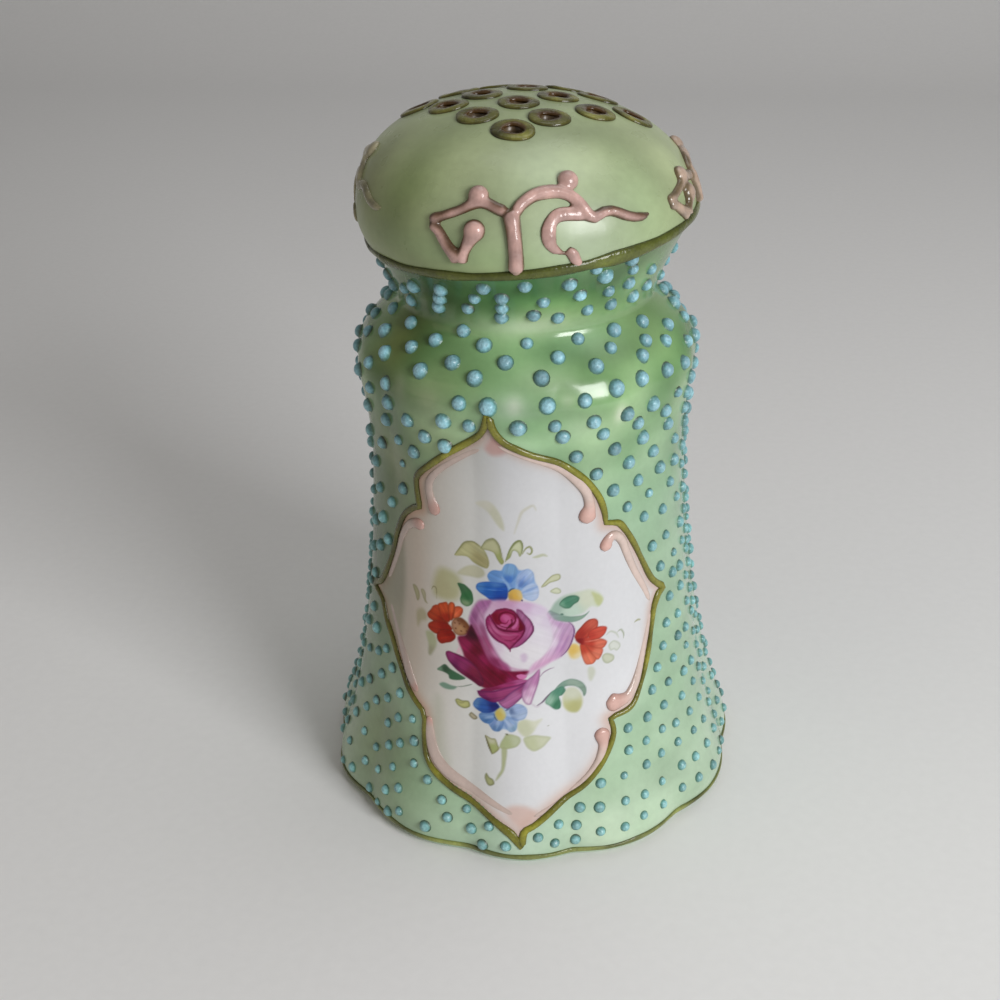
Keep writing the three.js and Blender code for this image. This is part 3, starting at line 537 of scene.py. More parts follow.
def body_point(angle, height, inset=0.0):
    """A point of the body's glaze, or of the wall behind it."""
    angle, height = np.broadcast_arrays(np.asarray(angle, float), np.asarray(height, float))
    lean = smoothstep(height, neck_height, rim_height)
    seam_radius = np.interp(angle % 360, seam_angles, seam_radii)
    radius = np.interp(height, wall_curve[:, 1], wall_curve[:, 0]) - flute_dip(angle, height)
    points = ring_point(angle, radius + lean * (seam_radius - cap_radius) - inset, height)
    points[..., 2] += lean * (seam_height_at(points) - seam_height)
    return points


def body_normal(angle, height):
    side = body_point(angle + 0.1, height) - body_point(angle - 0.1, height)
    rise = body_point(angle, height + 0.1) - body_point(angle, height - 0.1)
    return unit(np.cross(side, rise))


# Meshes

def grid_faces(rows, columns, wrap_rows=False, wrap_columns=False):
    row = np.arange(rows if wrap_rows else rows - 1)[:, None]
    column = np.arange(columns if wrap_columns else columns - 1)[None, :]
    next_row, next_column = (row + 1) % rows, (column + 1) % columns
    corners = [
        row * columns + column, row * columns + next_column,
        next_row * columns + next_column, next_row * columns + column,
    ]
    return np.stack(np.broadcast_arrays(*corners), axis=-1).reshape(-1, 4)


def capped(rings):
    """Points and faces of a tube of closed rings, with a face over each end."""
    count, sides = rings.shape[:2]
    faces = grid_faces(count, sides, False, True).tolist()
    faces.append(list(range(sides)))
    faces.append(list(range((count - 1) * sides, count * sides))[::-1])
    return rings.reshape(-1, 3), faces


def joined(parts):
    """One mesh from several, each given as its points and faces."""
    points, faces, count = [], [], 0
    for mesh, corners in parts:
        points.append(mesh)
        faces.extend([[corner + count for corner in face] for face in corners])
        count += len(mesh)
    return np.concatenate(points), faces


def mesh_object(name, points, faces, scale=METRES):
    mesh = bpy.data.meshes.new(name)
    mesh.from_pydata((np.asarray(points) * scale).tolist(), [], [list(map(int, face)) for face in faces])
    mesh.update()
    piece = bpy.data.objects.new(name, mesh)
    bpy.context.scene.collection.objects.link(piece)
    return piece


def tidy_normals(piece):
    work = bmesh.new()
    work.from_mesh(piece.data)
    bmesh.ops.recalc_face_normals(work, faces=work.faces)
    work.to_mesh(piece.data)
    work.free()


def apply_modifiers(piece):
    evaluated = piece.evaluated_get(bpy.context.evaluated_depsgraph_get())
    baked = bpy.data.meshes.new_from_object(evaluated)
    piece.modifiers.clear()
    old = piece.data
    piece.data = baked
    bpy.data.meshes.remove(old)


def vertex_values(piece, name):
    flat = np.empty(len(piece.data.vertices) * 3)
    piece.data.vertices.foreach_get(name, flat)
    return flat.reshape(-1, 3)


def lean_with_cap(piece, own):
    """Takes a piece that was shaped in millimetres in the cap's own frame into the holder's, in metres."""
    piece.data.vertices.foreach_set("co", (from_cap(own) * METRES).ravel())
    piece.data.update()


def linear(colour):
    colour = np.clip(np.asarray(colour, float), 0, 255) / 255
    return np.where(colour <= 0.04045, colour / 12.92, ((colour + 0.055) / 1.055) ** 2.4)


def paint(piece, colours):
    """Colours one piece point by point, given as 0 to 255 as a screen shows them."""
    layer = piece.data.attributes.new("paint", "FLOAT_COLOR", "POINT")
    values = np.ones((len(piece.data.vertices), 4))
    values[:, :3] = linear(colours)
    layer.data.foreach_set("color", values.ravel())


def finish_piece(piece, look, nodes):
    piece.data.shade_smooth()
    piece.data.materials.clear()
    piece.data.materials.append(materials[look])
    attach(piece, "root")
    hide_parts(*nodes)


def add_piece(name, points, faces, colours, look, slot, nodes):
    piece = mesh_object(name, points, faces)
    tidy_normals(piece)
    paint(piece, colours)
    finish_piece(piece, look, nodes)


# Materials

def noise(tree, scale, detail):
    """Noise with so many waves to a millimetre."""
    texture = tree.nodes.new("ShaderNodeTexNoise")
    texture.inputs["Scale"].default_value = scale / METRES
    texture.inputs["Detail"].default_value = detail
    place = tree.nodes.new("ShaderNodeTexCoord")
    tree.links.new(place.outputs["Object"], texture.inputs["Vector"])
    return texture.outputs["Fac"]


def spread(tree, value, low, high, ends=(0.3, 0.7)):
    """Stretches a value that lies between the ends, so that it runs from low to high."""
    ramp = tree.nodes.new("ShaderNodeMapRange")
    for name, number in zip(("From Min", "From Max", "To Min", "To Max"), (*ends, low, high)):
        ramp.inputs[name].default_value = number
    tree.links.new(value, ramp.inputs["Value"])
    return ramp.outputs["Result"]


def new_material(name, settings):
    material = bpy.data.materials.new(name)
    material.use_nodes = True
    shader = material.node_tree.nodes["Principled BSDF"]
    for socket, number in settings.items():
        shader.inputs[socket].default_value = number
    return material, material.node_tree, shader


def glaze_material(name, mottles, roughness, ripple_height, ripple_scale, coat, specular):
    """Glazed or enamelled surface: painted colour, mottled, with a rippled gloss."""
    material, tree, shader = new_material(name, {
        "IOR": 1.5, "Specular IOR Level": specular, "Coat Weight": coat, "Coat Roughness": 0.06,
    })
    painted = tree.nodes.new("ShaderNodeAttribute")
    painted.attribute_name = "paint"
    colour = painted.outputs["Color"]
    for scale, strength in mottles:
        shade = tree.nodes.new("ShaderNodeVectorMath")
        shade.operation = "SCALE"
        tree.links.new(colour, shade.inputs[0])
        tree.links.new(spread(tree, noise(tree, scale, 3), 1 - strength, 1 + strength), shade.inputs["Scale"])
        colour = shade.outputs["Vector"]
    ripple = tree.nodes.new("ShaderNodeBump")
    ripple.inputs["Strength"].default_value = 1
    ripple.inputs["Distance"].default_value = ripple_height * METRES
    tree.links.new(noise(tree, ripple_scale, 2), ripple.inputs["Height"])
    tree.links.new(colour, shader.inputs["Base Color"])
    tree.links.new(spread(tree, noise(tree, 0.3, 2), roughness, roughness + 0.1), shader.inputs["Roughness"])
    tree.links.new(ripple.outputs["Normal"], shader.inputs["Normal"])
    tree.links.new(ripple.outputs["Normal"], shader.inputs["Coat Normal"])
    return material


materials = {name: glaze_material(name, *look) for name, look in looks.items()}


# The body

def clouds(points, size, seed):
    """Soft blotches, about one size across, from -1 to 1 or a little over."""
    waves = np.random.default_rng(seed)
    total = np.zeros(len(points))
    for _ in range(12):
        way = unit(waves.normal(size=3)) * math.pi / size * waves.uniform(0.5, 1.5)
        total += np.sin(points @ way + waves.uniform(0, 2 * math.pi))
    return total / 4


def tinted(colours, angle, height, tints):
    for middle, level, reach, rise, ink, strength in tints:
        off = (angle - middle + 180) % 360 - 180
        share = strength * np.exp(-(off / reach) ** 2 - ((height - level) / rise) ** 2)
        colours = blend(colours, ink, share[:, None])
    return colours


def body_colour(points, inside):
    """Greens by height, brushed tints with painted highlights, reflections and shade among them, blotches,
    level streaks, and painted shade round the sides.
    """
    angle, height = angle_of(points), points[:, 2]
    colours = tinted(colour_table(body_greens, height), angle, height, body_tints_and_painted_light)
    blotch = np.clip(clouds(points, 7, 1), -1, 1) * (0.05 + 0.15 * smoothstep(height, 55, 82))
    colours *= 1 + blotch[:, None] * (1, 0.7, 1)
    streaks = clouds(points * (1, 1, 4), 9, 2) * (0.02 + 0.05 * smoothstep(height, 70, 84))
    colours *= 1 + streaks[:, None]
    # Painted shade round the body, darker away from the front
    colours *= colour_table(body_side_shade_shares, angle)
    colours[inside] = inside_colour
    return colours


def body_shell():
    columns, outer_rows, inner_rows = 420, 170, 45
    turn = np.radians(np.linspace(0, 90, 6))
    corner = [(foot_rounding * (1 - math.sin(t)), foot_rounding * (1 - math.cos(t))) for t in turn]
    outer = [(0, height) for height in np.linspace(foot_rounding, rim_height, outer_rows)[1:]]
    inner = [(wall_thickness, height) for height in np.linspace(rim_height, foot_rounding, inner_rows)]
    inner_corner = [(wall_thickness - inset, height) for inset, height in reversed(corner[:-1])]
    loop = np.array(corner + outer + inner + inner_corner)
    angles = np.arange(columns) * 360 / columns
    points = body_point(angles[None, :], loop[:, 1:2], loop[:, 0:1]).reshape(-1, 3)
    inside = np.repeat(loop[:, 0] > 1, columns)
    faces = grid_faces(len(loop), columns, True, True)
    colours = body_colour(points, inside)
    add_piece("body_shell", points, faces, colours, "body_glaze", "body_porcelain", ["body_casting"])


# The cap

def pin_places():
    shares = np.array(pin_place_shares) * pin_spacing
    return cap_top_point(shares[:, 0], shares[:, 1])


def pin_frame(place):
    """Outward axis of a pin hole, and two directions across it."""
    axis = cap_normal(place)
    side = unit(np.cross([1, 0, 0], axis))
    return axis, side, np.cross(axis, side)


def dome_ring(angles, turn, inset=0.0):
    """A ring of the dome, from its widest line at no turn to its pole at a quarter turn."""
    pole_radius = 0.25
    radius = (cap_radius - inset) * max(0.0, math.cos(turn)) ** (2 / dome_squareness)
    height = cap_widest_height + (cap_dome_height - inset) * math.sin(turn) ** (2 / dome_squareness)
    return ring_point(angles, max(radius, pole_radius), height)


def cap_rings(angles):
    """Rings of the glaze from the seam to the pole, and of the wall behind it back to the seam."""
    band_share, band_top_rise = 0.3, 2
    low = to_cap(seam_point(angles))[:, 2] + seam_gap / 2
    start = math.asin((band_top_rise / cap_dome_height) ** (dome_squareness / 2))
    outer = []
    for share in np.linspace(0, 1, 66):
        if share < band_share:
            height = low + (cap_widest_height + band_top_rise - low) * share / band_share
            outer.append(ring_point(angles, cap_radius_at(height), height))
        else:
            turn = start + (math.pi / 2 - start) * (share - band_share) / (1 - band_share)
            outer.append(dome_ring(angles, turn))
    inner = [dome_ring(angles, turn, wall_thickness) for turn in np.linspace(math.pi / 2, 0, 20)]
    inner.append(ring_point(angles, cap_radius_at(low, wall_thickness), low))
    return outer, inner


def pin_cutters():
    """Round bars through the dome, one for each pin hole."""
    turn = turns(32)[:, None]
    reach = 2 * wall_thickness
    bars = []
    for place in pin_places():
        axis, side, other = pin_frame(place)
        circle = place + pin_hole_radius * (np.cos(turn) * side + np.sin(turn) * other)
        bars.append(capped(np.stack([circle + end * axis for end in (-reach, reach)])))
    return joined(bars)


def cap_colour(own):
    """Greens by height, brushed tints with painted shade on the left, blotches, and brown painted shade in
    the bores and on the inside of the cap.
    """
    height = own[:, 2]
    colours = tinted(colour_table(cap_greens, height), angle_of(own), height, cap_tints_and_painted_shade)
    colours *= 1 + 0.05 * clouds(own, 6, 3)[:, None]
    for place in pin_places():
        axis = cap_normal(place)
        along = (own - place) @ axis
        near = np.linalg.norm(own - place - along[:, None] * axis, axis=1) < pin_hole_radius + 0.1
        colours[near & (np.abs(along) < 2 * wall_thickness)] = bore_shade_colour
    behind = np.linalg.norm(own[:, :2], axis=1) < cap_radius_at(np.minimum(height, holder_height - 0.1)) - 1
    colours[behind & (height < holder_height - 2)] = cap_inside_shade_colour
    return colours


def cap_shell():
    columns = 240
    outer, inner = cap_rings(np.arange(columns) * 360 / columns)
    # The two rings at the poles carry a face each, and nothing joins them
    pole, pole_end = (len(outer) - 1) * columns, len(outer) * columns
    faces = grid_faces(len(outer) + len(inner), columns, True, True)
    faces = np.delete(faces, np.arange(pole, pole_end), axis=0).tolist()
    faces += [list(range(pole, pole_end)), list(range(pole_end, pole_end + columns))[::-1]]
    piece = mesh_object("cap_shell", np.concatenate(outer + inner), faces, scale=1)
    tidy_normals(piece)
    cutter = mesh_object("pin_cutter", *pin_cutters(), scale=1)
    tidy_normals(cutter)
    cut = piece.modifiers.new("pins", "BOOLEAN")
    cut.operation = "DIFFERENCE"
    cut.solver = "MANIFOLD"
    cut.object = cutter
    apply_modifiers(piece)
    bpy.data.objects.remove(cutter)
    own = vertex_values(piece, "co")
    paint(piece, cap_colour(own))
    lean_with_cap(piece, own)
    finish_piece(piece, "cap_glaze", ["cap_casting"])


# Raised enamel: a rounded ridge laid along a line on the glaze

def ridge_section(squareness):
    """Corners of a ridge's section as (share of the half width, share of the relief)."""
    turn = np.radians(np.linspace(0, 180, 9))
    return [(math.cos(t), abs(math.sin(t)) ** squareness) for t in turn]


def ridge(points, normals, half_widths, reliefs, closed, squareness=line_squareness):
    """A closed, rounded ridge whose base is sunk a little into the glaze."""
    if closed:
        along = unit(np.roll(points, -1, axis=0) - np.roll(points, 1, axis=0))
    else:
        along = unit(np.gradient(points, axis=0))
    across = unit(np.cross(along, normals)) * half_widths[:, None]
    up = normals * reliefs[:, None]
    rows = [points + across * side + up * rise for side, rise in ridge_section(squareness)]
    rows += [points + across * side - normals * enamel_depth for side in (-0.8, 0.8)]
    rings = np.stack(rows, axis=1)
    if closed:
        return rings.reshape(-1, 3), grid_faces(len(points), len(rows), True, True)
    return capped(rings)


def ridge_colours(inks, shift, squareness=line_squareness):
    """Colours from the foot of a ridge to its crest, darker at the foot as painted shade and lighter on the
    crest as a painted highlight, shifted station by station.
    """
    rise = np.array([rise for side, rise in ridge_section(squareness)] + [0, 0])[None, :, None]
    return (blend(*inks, rise) * shift[:, None, None]).reshape(-1, 3)


def wander(count, every, strength):
    """Factors round 1 that change slowly along a closed line."""
    drawn = draw.normal(size=count // every + 1)
    drawn[-1] = drawn[0]
    return 1 + strength * np.interp(np.arange(count), np.linspace(0, count, len(drawn)), drawn)


def line_piece(name, ridge_mesh, colours, node):
    add_piece(name, *ridge_mesh, colours, "line_enamel", "olive_enamel", [node])


def panel_arc(shares, places):
    flat = spaced(shares, places)
    return np.stack([flat[:, 0] * panel_half_angle, panel_middle_height + flat[:, 1] * panel_half_height], -1)


def panel_outline(steps):
    arcs = [panel_arc(shares, np.linspace(0, 1, steps)) for shares in panel_shares]
    return np.concatenate(arcs)


def flat_place(place):
    """Places as (angle, height) laid flat, in millimetres along the glaze."""
    scale = np.array([math.radians(waist_radius), 1])
    return np.asarray(place, float) * scale


def outline_distance(flat, outline):
    """Distance to a closed outline, negative inside it; all laid flat."""
    nearest = np.full(len(flat), np.inf)
    inside = np.zeros(len(flat), bool)
    for start, end in zip(outline, np.roll(outline, -1, axis=0)):
        step = end - start
        length = step @ step
        if length < 1e-12:
            continue
        share = np.clip(((flat - start) @ step) / length, 0, 1)
        gap = flat - start - share[:, None] * step
        nearest = np.minimum(nearest, np.einsum("ij,ij->i", gap, gap))
        if step[1]:
            crosses = (start[1] > flat[:, 1]) != (end[1] > flat[:, 1])
            reach = start[0] + (flat[:, 1] - start[1]) * step[0] / step[1]
            inside ^= crosses & (flat[:, 0] < reach)
    return np.where(inside, -1, 1) * np.sqrt(nearest)


def panel_line():
    outline = panel_outline(46)
    keep = np.linalg.norm(flat_place(outline) - flat_place(np.roll(outline, 1, axis=0)), axis=1) > 0.05
    outline = outline[keep]
    angle, height = outline.T
    tips = flat_place([panel_arc(shares, np.array([0, 1]))[0] for shares in panel_shares[::2]])
    gap = np.linalg.norm(flat_place(outline)[:, None] - tips, axis=-1).min(axis=1)
    widths = panel_line_half_width * wander(len(outline), 5, 0.1)
    widths += panel_line_half_width * panel_tip_swell * np.exp(-(gap / panel_tip_reach) ** 2)
    reliefs = panel_line_relief * wander(len(outline), 4, 0.12)
    mesh = ridge(body_point(angle, height), body_normal(angle, height), widths, reliefs, True)
    # Darker towards the left, as painted shade, with a slow change along the line
    depth = np.interp(angle, (-40, -12), (0.7, 1)) * wander(len(outline), 7, 0.14)
    line_piece("panel_enamel_line", mesh, ridge_colours(panel_line_inks, depth), "panel_line")


def foot_line():
    angle = np.arange(0, 360, 0.75)
    height = foot_line_height * wander(len(angle), 12, 0.05)
    widths = foot_line_half_width * wander(len(angle), 8, 0.15)
    reliefs = foot_line_relief * wander(len(angle), 8, 0.1)
    mesh = ridge(body_point(angle, height), body_normal(angle, height), widths, reliefs, True)
    depth = wander(len(angle), 10, 0.16)
    line_piece("foot_enamel_line", mesh, ridge_colours(foot_line_inks, depth), "foot_line")


def seam_line():
    angle = np.arange(0, 360, 1.0)
    points = seam_point(angle)
    normals = cap_normal(to_cap(points)) @ cap_turn.T
    widths = seam_line_half_width * seam_line_spread * wander(len(angle), 9, 0.14)
    widths *= 1 + 0.25 * np.exp(-((angle - 40) / 25) ** 2)
    mesh = ridge(points, normals, widths, seam_line_relief * wander(len(angle), 7, 0.12), True)
    depth = np.interp(angle, (0, 25, 60, 90), (1, 0.86, 0.86, 1)) * wander(len(angle), 8, 0.16)
    line_piece("seam_enamel_line", mesh, ridge_colours(seam_line_inks, depth), "seam_line")


def blush(number, stroke, tall, depth):
    """A round drop that thins out and fades into its tail."""
    steps = 60
    flat_stroke = [(*flat_place((angle, height)), share) for angle, height, share in stroke]
    path = spaced(flat_stroke, np.linspace(0, 1, steps))
    flat, widths = path[:, :2], path[:, 2] * blush_half_width
    gone = np.concatenate([[0], np.cumsum(np.linalg.norm(np.diff(flat, axis=0), axis=1))])
    drop = widths[0]
    widths *= np.sqrt(np.clip(1 - np.clip(1 - gone / drop, 0, 1) ** 2, 0.02, 1))
    widths *= np.sqrt(np.clip((gone[-1] - gone) / drop, 0.05, 1))
    fade = 1 - 0.75 * smoothstep(np.arange(steps), 0.15 * steps, 0.7 * steps)
    reliefs = blush_relief * tall * np.sqrt(widths / blush_half_width) * fade
    angle, height = flat[:, 0] / math.radians(waist_radius), flat[:, 1]
    mesh, faces = ridge(body_point(angle, height), body_normal(angle, height), widths, reliefs, False)
    change = smoothstep(gone, 1.2 * drop, 4 * drop)[:, None, None]
    inks = [blend(start, end, change) for start, end in zip(drop_inks, blush_inks)]
    # Darker at the foot and lighter on the crest, as painted shade and highlight; the left blushes darker
    # overall, as painted shade
    colours = ridge_colours(inks, np.full(steps, depth))
    nodes = [f"panel_blush_{number}"]
    add_piece(f"panel_blush_enamel_{number}", mesh, faces, colours, "blush_glaze", "blush_enamel", nodes)


def pin_rims():
    turn = np.radians(np.arange(0, 360, 7.5))
    for number, place in enumerate(pin_places(), 1):
        axis, side, other = pin_frame(place)
        oval, lobes = draw.uniform(0, 6), draw.uniform(0, 6)
        wobble = 1 + 0.05 * np.sin(2 * turn + oval) + 0.03 * np.sin(3 * turn + lobes)
        circle = place - pin_rim_radius * 1.07 * (wobble * np.cos(turn))[:, None] * other
        circle = circle + pin_rim_radius * 0.93 * (wobble * np.sin(turn))[:, None] * side
        points = cap_top_point(circle[:, 0], circle[:, 1])
        widths = pin_rim_half_width * wander(len(turn), 6, 0.06)
        reliefs = pin_rim_relief * wander(len(turn), 6, 0.12)
        mesh, faces = ridge(points, cap_normal(points), widths, reliefs, True, rim_squareness)
        colours = ridge_colours(pin_rim_inks, wander(len(turn), 6, 0.16), rim_squareness)
        # The inner part of each rim is browned, as painted shade of the hole
        inner = smoothstep(np.linalg.norm(mesh - place, axis=1), 2.2, 1.6)[:, None]
        colours = blend(colours, pin_rim_hole_shade_ink, inner)
        line_piece(f"pin_rim_enamel_{number}", (from_cap(mesh), faces), colours, f"pin_rim_{number}")


# The scrolls on the cap

def scroll_placer(quarter, rise, lift):
    """Lays a flat drawing of a scroll on the cap, in the cap's own frame."""
    centre = 90 * quarter
    slope = math.tan(math.radians(seam_lean + cap_lean))
    seam = seam_height + slope * cap_radius * math.cos(math.radians(centre - lean_direction))
    foot = seam + seam_line_half_width + enamel_gap + lift * scroll_rise

    def place(flat):
        height = foot + flat[:, 1] * scroll_rise * rise
        return ring_point(centre + flat[:, 0] * scroll_half_span, cap_radius_at(height), height)
    return place


def tube(points, normals, half_widths, relief_share):
    """A flattened closed tube that sits half in the glaze."""
    across = unit(np.cross(unit(np.gradient(points, axis=0)), normals)) * half_widths[:, None]
    up = normals * (half_widths * relief_share)[:, None]
    rings = [points + across * math.cos(turn) + up * math.sin(turn) for turn in turns(10)]
    return capped(np.stack(rings, axis=1))


def knob(centre, radius, relief_share):
    """A ball that is flattened along the glaze's outward direction."""
    rise, turn = np.radians(np.linspace(-89, 89, 12))[:, None], turns(14)[:, None]
    normal = cap_normal(centre)
    side = unit(np.cross(normal, [0, 0, 1.0]))
    circle = np.cos(turn) * side + np.sin(turn) * np.cross(normal, side)
    middles = centre + normal * radius * relief_share * np.sin(rise)
    return capped(middles[:, None] + circle * radius * np.cos(rise)[:, None])


def scroll_skin(name, place, wear):
    """The strokes and knobs of a scroll, fused into one smooth skin."""
    step = np.arange(30)
    ends = np.sqrt(np.clip(np.minimum(step, step[::-1]) / 3, 0.15, 1))
    parts = []
    for shares, tall in zip(scroll_stroke_shares, scroll_stroke_heights):
        flat = spaced(shares, np.linspace(0, 1, len(step)))
        points = place(flat)
        widths = flat[:, 2] * scroll_half_width * ends
        parts.append(tube(points, cap_normal(points), widths, tall * (1.05 - 0.5 * wear)))
    for across, up, size in knob_shares:
        parts.append(knob(place(np.array([[across, up]]))[0], size * knob_radius, 0.85 - 0.4 * wear))
    piece = mesh_object(f"scroll_enamel_{name}", *joined(parts), scale=1)
    tidy_normals(piece)
    remesh = piece.modifiers.new("fuse", "REMESH")
    remesh.mode = "VOXEL"
    remesh.voxel_size = 0.22
    smooth = piece.modifiers.new("smooth", "SMOOTH")
    smooth.factor = 0.5
    smooth.iterations = 4
    apply_modifiers(piece)
    return piece


def scroll_colour(own, facing, centre, wear):
    """Pink on the crests and brown low down, in the hollows and on the sides that face up and to the left,
    partly grime and partly painted shade; greyed where it is worn.
    """
    radius = np.linalg.norm(own[:, :2], axis=1)
    raised = np.abs(radius - cap_radius_at(np.clip(own[:, 2], 92, holder_height - 0.1)))
    # Brown on the sides that face up and to the left: partly grime, partly painted shade
    leftward = (facing[:, 0] * own[:, 1] - facing[:, 1] * own[:, 0]) / cap_radius
    grime_and_shade_side = np.clip(facing[:, 2] + 0.5 * leftward, 0, 1)
    across = (angle_of(own) - centre + 180) % 360 - 180
    clear_of_brown = smoothstep(across, 8, 11) * smoothstep(across, 25, 22)
    raised = raised * (1 + clear_of_brown) - 0.45 * grime_and_shade_side * (1 - 0.8 * clear_of_brown) + 0.2 * clouds(own, 2.5, 5)
    colours = blend(*scroll_inks, smoothstep(raised, 0.2, 0.85 - 0.4 * wear)[:, None])
    colours = blend(colours, scroll_worn_ink, 0.9 * wear)
    return colours * (1 + 0.08 * clouds(own, 1.6, 6)[:, None])


def scroll(name, quarter, rise, lift, wear):
    piece = scroll_skin(name, scroll_placer(quarter, rise, lift), wear)
    own = vertex_values(piece, "co")
    colours = scroll_colour(own, vertex_values(piece, "normal"), 90 * quarter, wear)
    lean_with_cap(piece, own)
    tidy_normals(piece)
    paint(piece, colours)
    finish_piece(piece, "scroll_glaze", [f"cap_scroll_{name}", f"cap_drop_{name}"])


# The beads

def within(place, window):
    left, right, low, high = window
    return (place[:, 0] > left) & (place[:, 0] < right) & (place[:, 1] > low) & (place[:, 1] < high)


def bead_places():
    """Beads by zone as (angle, height, radius): the rows, thinned for the panel and the single ones."""
    outline = flat_place(panel_outline(24))
    singles = np.array(bead_singles, float)
    single_points = body_point(singles[:, 0], singles[:, 1])
    zones = {}
    for zone, rows in bead_rows.items():
        found = np.array([
            (first + step * 360 / count, height, radius)
            for height, first, count, radius in rows for step in range(count)
        ], float)
        found[:, 0] = (found[:, 0] + 180) % 360 - 180
        points = body_point(found[:, 0], found[:, 1])
        gap = np.linalg.norm(points[:, None] - single_points, axis=-1).min(axis=1)
        clear = outline_distance(flat_place(found[:, :2]), outline) > bead_clearance
        by_hand = np.any([within(found, window) for window in bead_windows], axis=0)
        zones[zone] = found[clear & ~by_hand & (gap > bead_elbow_room)]
    zones["front"] = singles
    return zones


def bead_faces(levels):
    """Faces of one bead, whose last point is its top."""
    last = (levels - 1) * bead_sides
    top = [(last + i, last + (i + 1) % bead_sides, levels * bead_sides) for i in range(bead_sides)]
    return grid_faces(levels, bead_sides, False, True).tolist() + top


def bead_group(zone, found):
    """Beads as small drops, each with its own size, tone and dirt at its foot, with painted shade at the foot
    and a painted highlight towards the top.
    """
    count, levels = len(found), len(bead_rings)
    jitter = 0 if zone == "front" else 1
    angle = found[:, 0] + jitter * draw.normal(size=count) * 0.6
    height = found[:, 1] + jitter * draw.normal(size=count) * 0.25
    radius = (found[:, 2] * (1 + 0.08 * draw.normal(size=count)))[:, None, None]
    centre, normal = body_point(angle, height), body_normal(angle, height)
    side = unit(np.cross([0, 0, 1.0], normal))[:, None]
    other = np.cross(normal, side[:, 0])[:, None]
    centre, normal = centre[:, None], normal[:, None]
    turn = turns(bead_sides)
    circle = np.cos(turn)[:, None] * side + np.sin(turn)[:, None] * other
    rings = [centre + radius * out * circle + radius * rise * normal for out, rise, shade, dirt in bead_rings]
    points = np.concatenate([*rings, centre + radius * bead_top_share * normal], axis=1).reshape(-1, 3)
    starts = np.arange(count) * (levels * bead_sides + 1)
    faces = [[corner + start for corner in face] for start in starts for face in bead_faces(levels)]
    # Ring colours: painted shade at the foot, painted highlight towards the top
    shades, dirt_shares = [np.repeat([row[i] for row in bead_rings], bead_sides, axis=0) for i in (2, 3)]
    dirt_shares = dirt_shares * np.tile(0.5 + 0.5 * np.cos(turn - 0.6), levels)
    dirt = np.append(dirt_shares, 0)[:, None] * draw.uniform(size=(count, 1, 1)) ** 3
    colours = blend(np.append(shades, shades[-1:], axis=0)[None], bead_dirt, dirt)
    colours *= 1 + 0.05 * draw.normal(size=(count, 1, 1))
    colours *= colour_table(bead_height_shares, height)[:, None]
    colours = colours.reshape(-1, 3)
    add_piece(f"beads_{zone}", points, faces, colours, "bead_glaze", "bead_enamel", ["body_casting"])


# The painting on the panel. Inks are written as they look in a light that falls
# off to the left, from 0 to 255, and the canvas takes that light out again.

daylight_shares = [(-40, 0.86), (-25, 0.9), (-10, 0.97), (5, 1.02), (20, 1.06), (60, 1.06)]
panel_white = (215, 216, 219)
panel_pink = (206, 184, 175)
# How the white is toned: darker towards the top, by height; and darker to the left, as painted shade, by
# angle for red, green and blue
white_height_shares = [
    (8, 0.985), (27, 0.99), (35, 0.955), (42, 0.945), (58, 0.935), (66, 0.925), (73, 0.885), (80, 0.87),
]
white_side_shade_shares = [
    (-50, (0.95, 0.91, 0.84)), (-34, (0.97, 0.91, 0.84)), (-27, (0.96, 0.93, 0.88)),
    (-16, (0.96, 0.95, 0.92)), (-8, (0.98, 0.98, 0.96)), (0, (1, 1, 1)),
]


def closed_curve(outline):
    """A smooth closed curve through the points, laid flat."""
    flat = flat_place(outline)
    looped = np.concatenate([flat[-2:], flat, flat[:3]])
    curve = spline(looped, 6 * (len(looped) - 1))
    return curve[12:-12]


def bristles(flat, lie):
    """Streaks that a brush leaves along its way, from -1 to 1."""
    turn = math.radians(lie)
    across = flat[:, 1] * math.cos(turn) - flat[:, 0] * math.sin(turn)
    along = flat[:, 0] * math.cos(turn) + flat[:, 1] * math.sin(turn)
    wave = np.sin(across * 5.3 + 0.7 * np.sin(along * 0.9))
    wave += 0.8 * np.sin(across * 9.1 + 1.3 + 0.5 * np.sin(along * 1.3 + 2))
    wave += 0.6 * np.sin(across * 16.7 + 2.1)
    return wave / 2.4


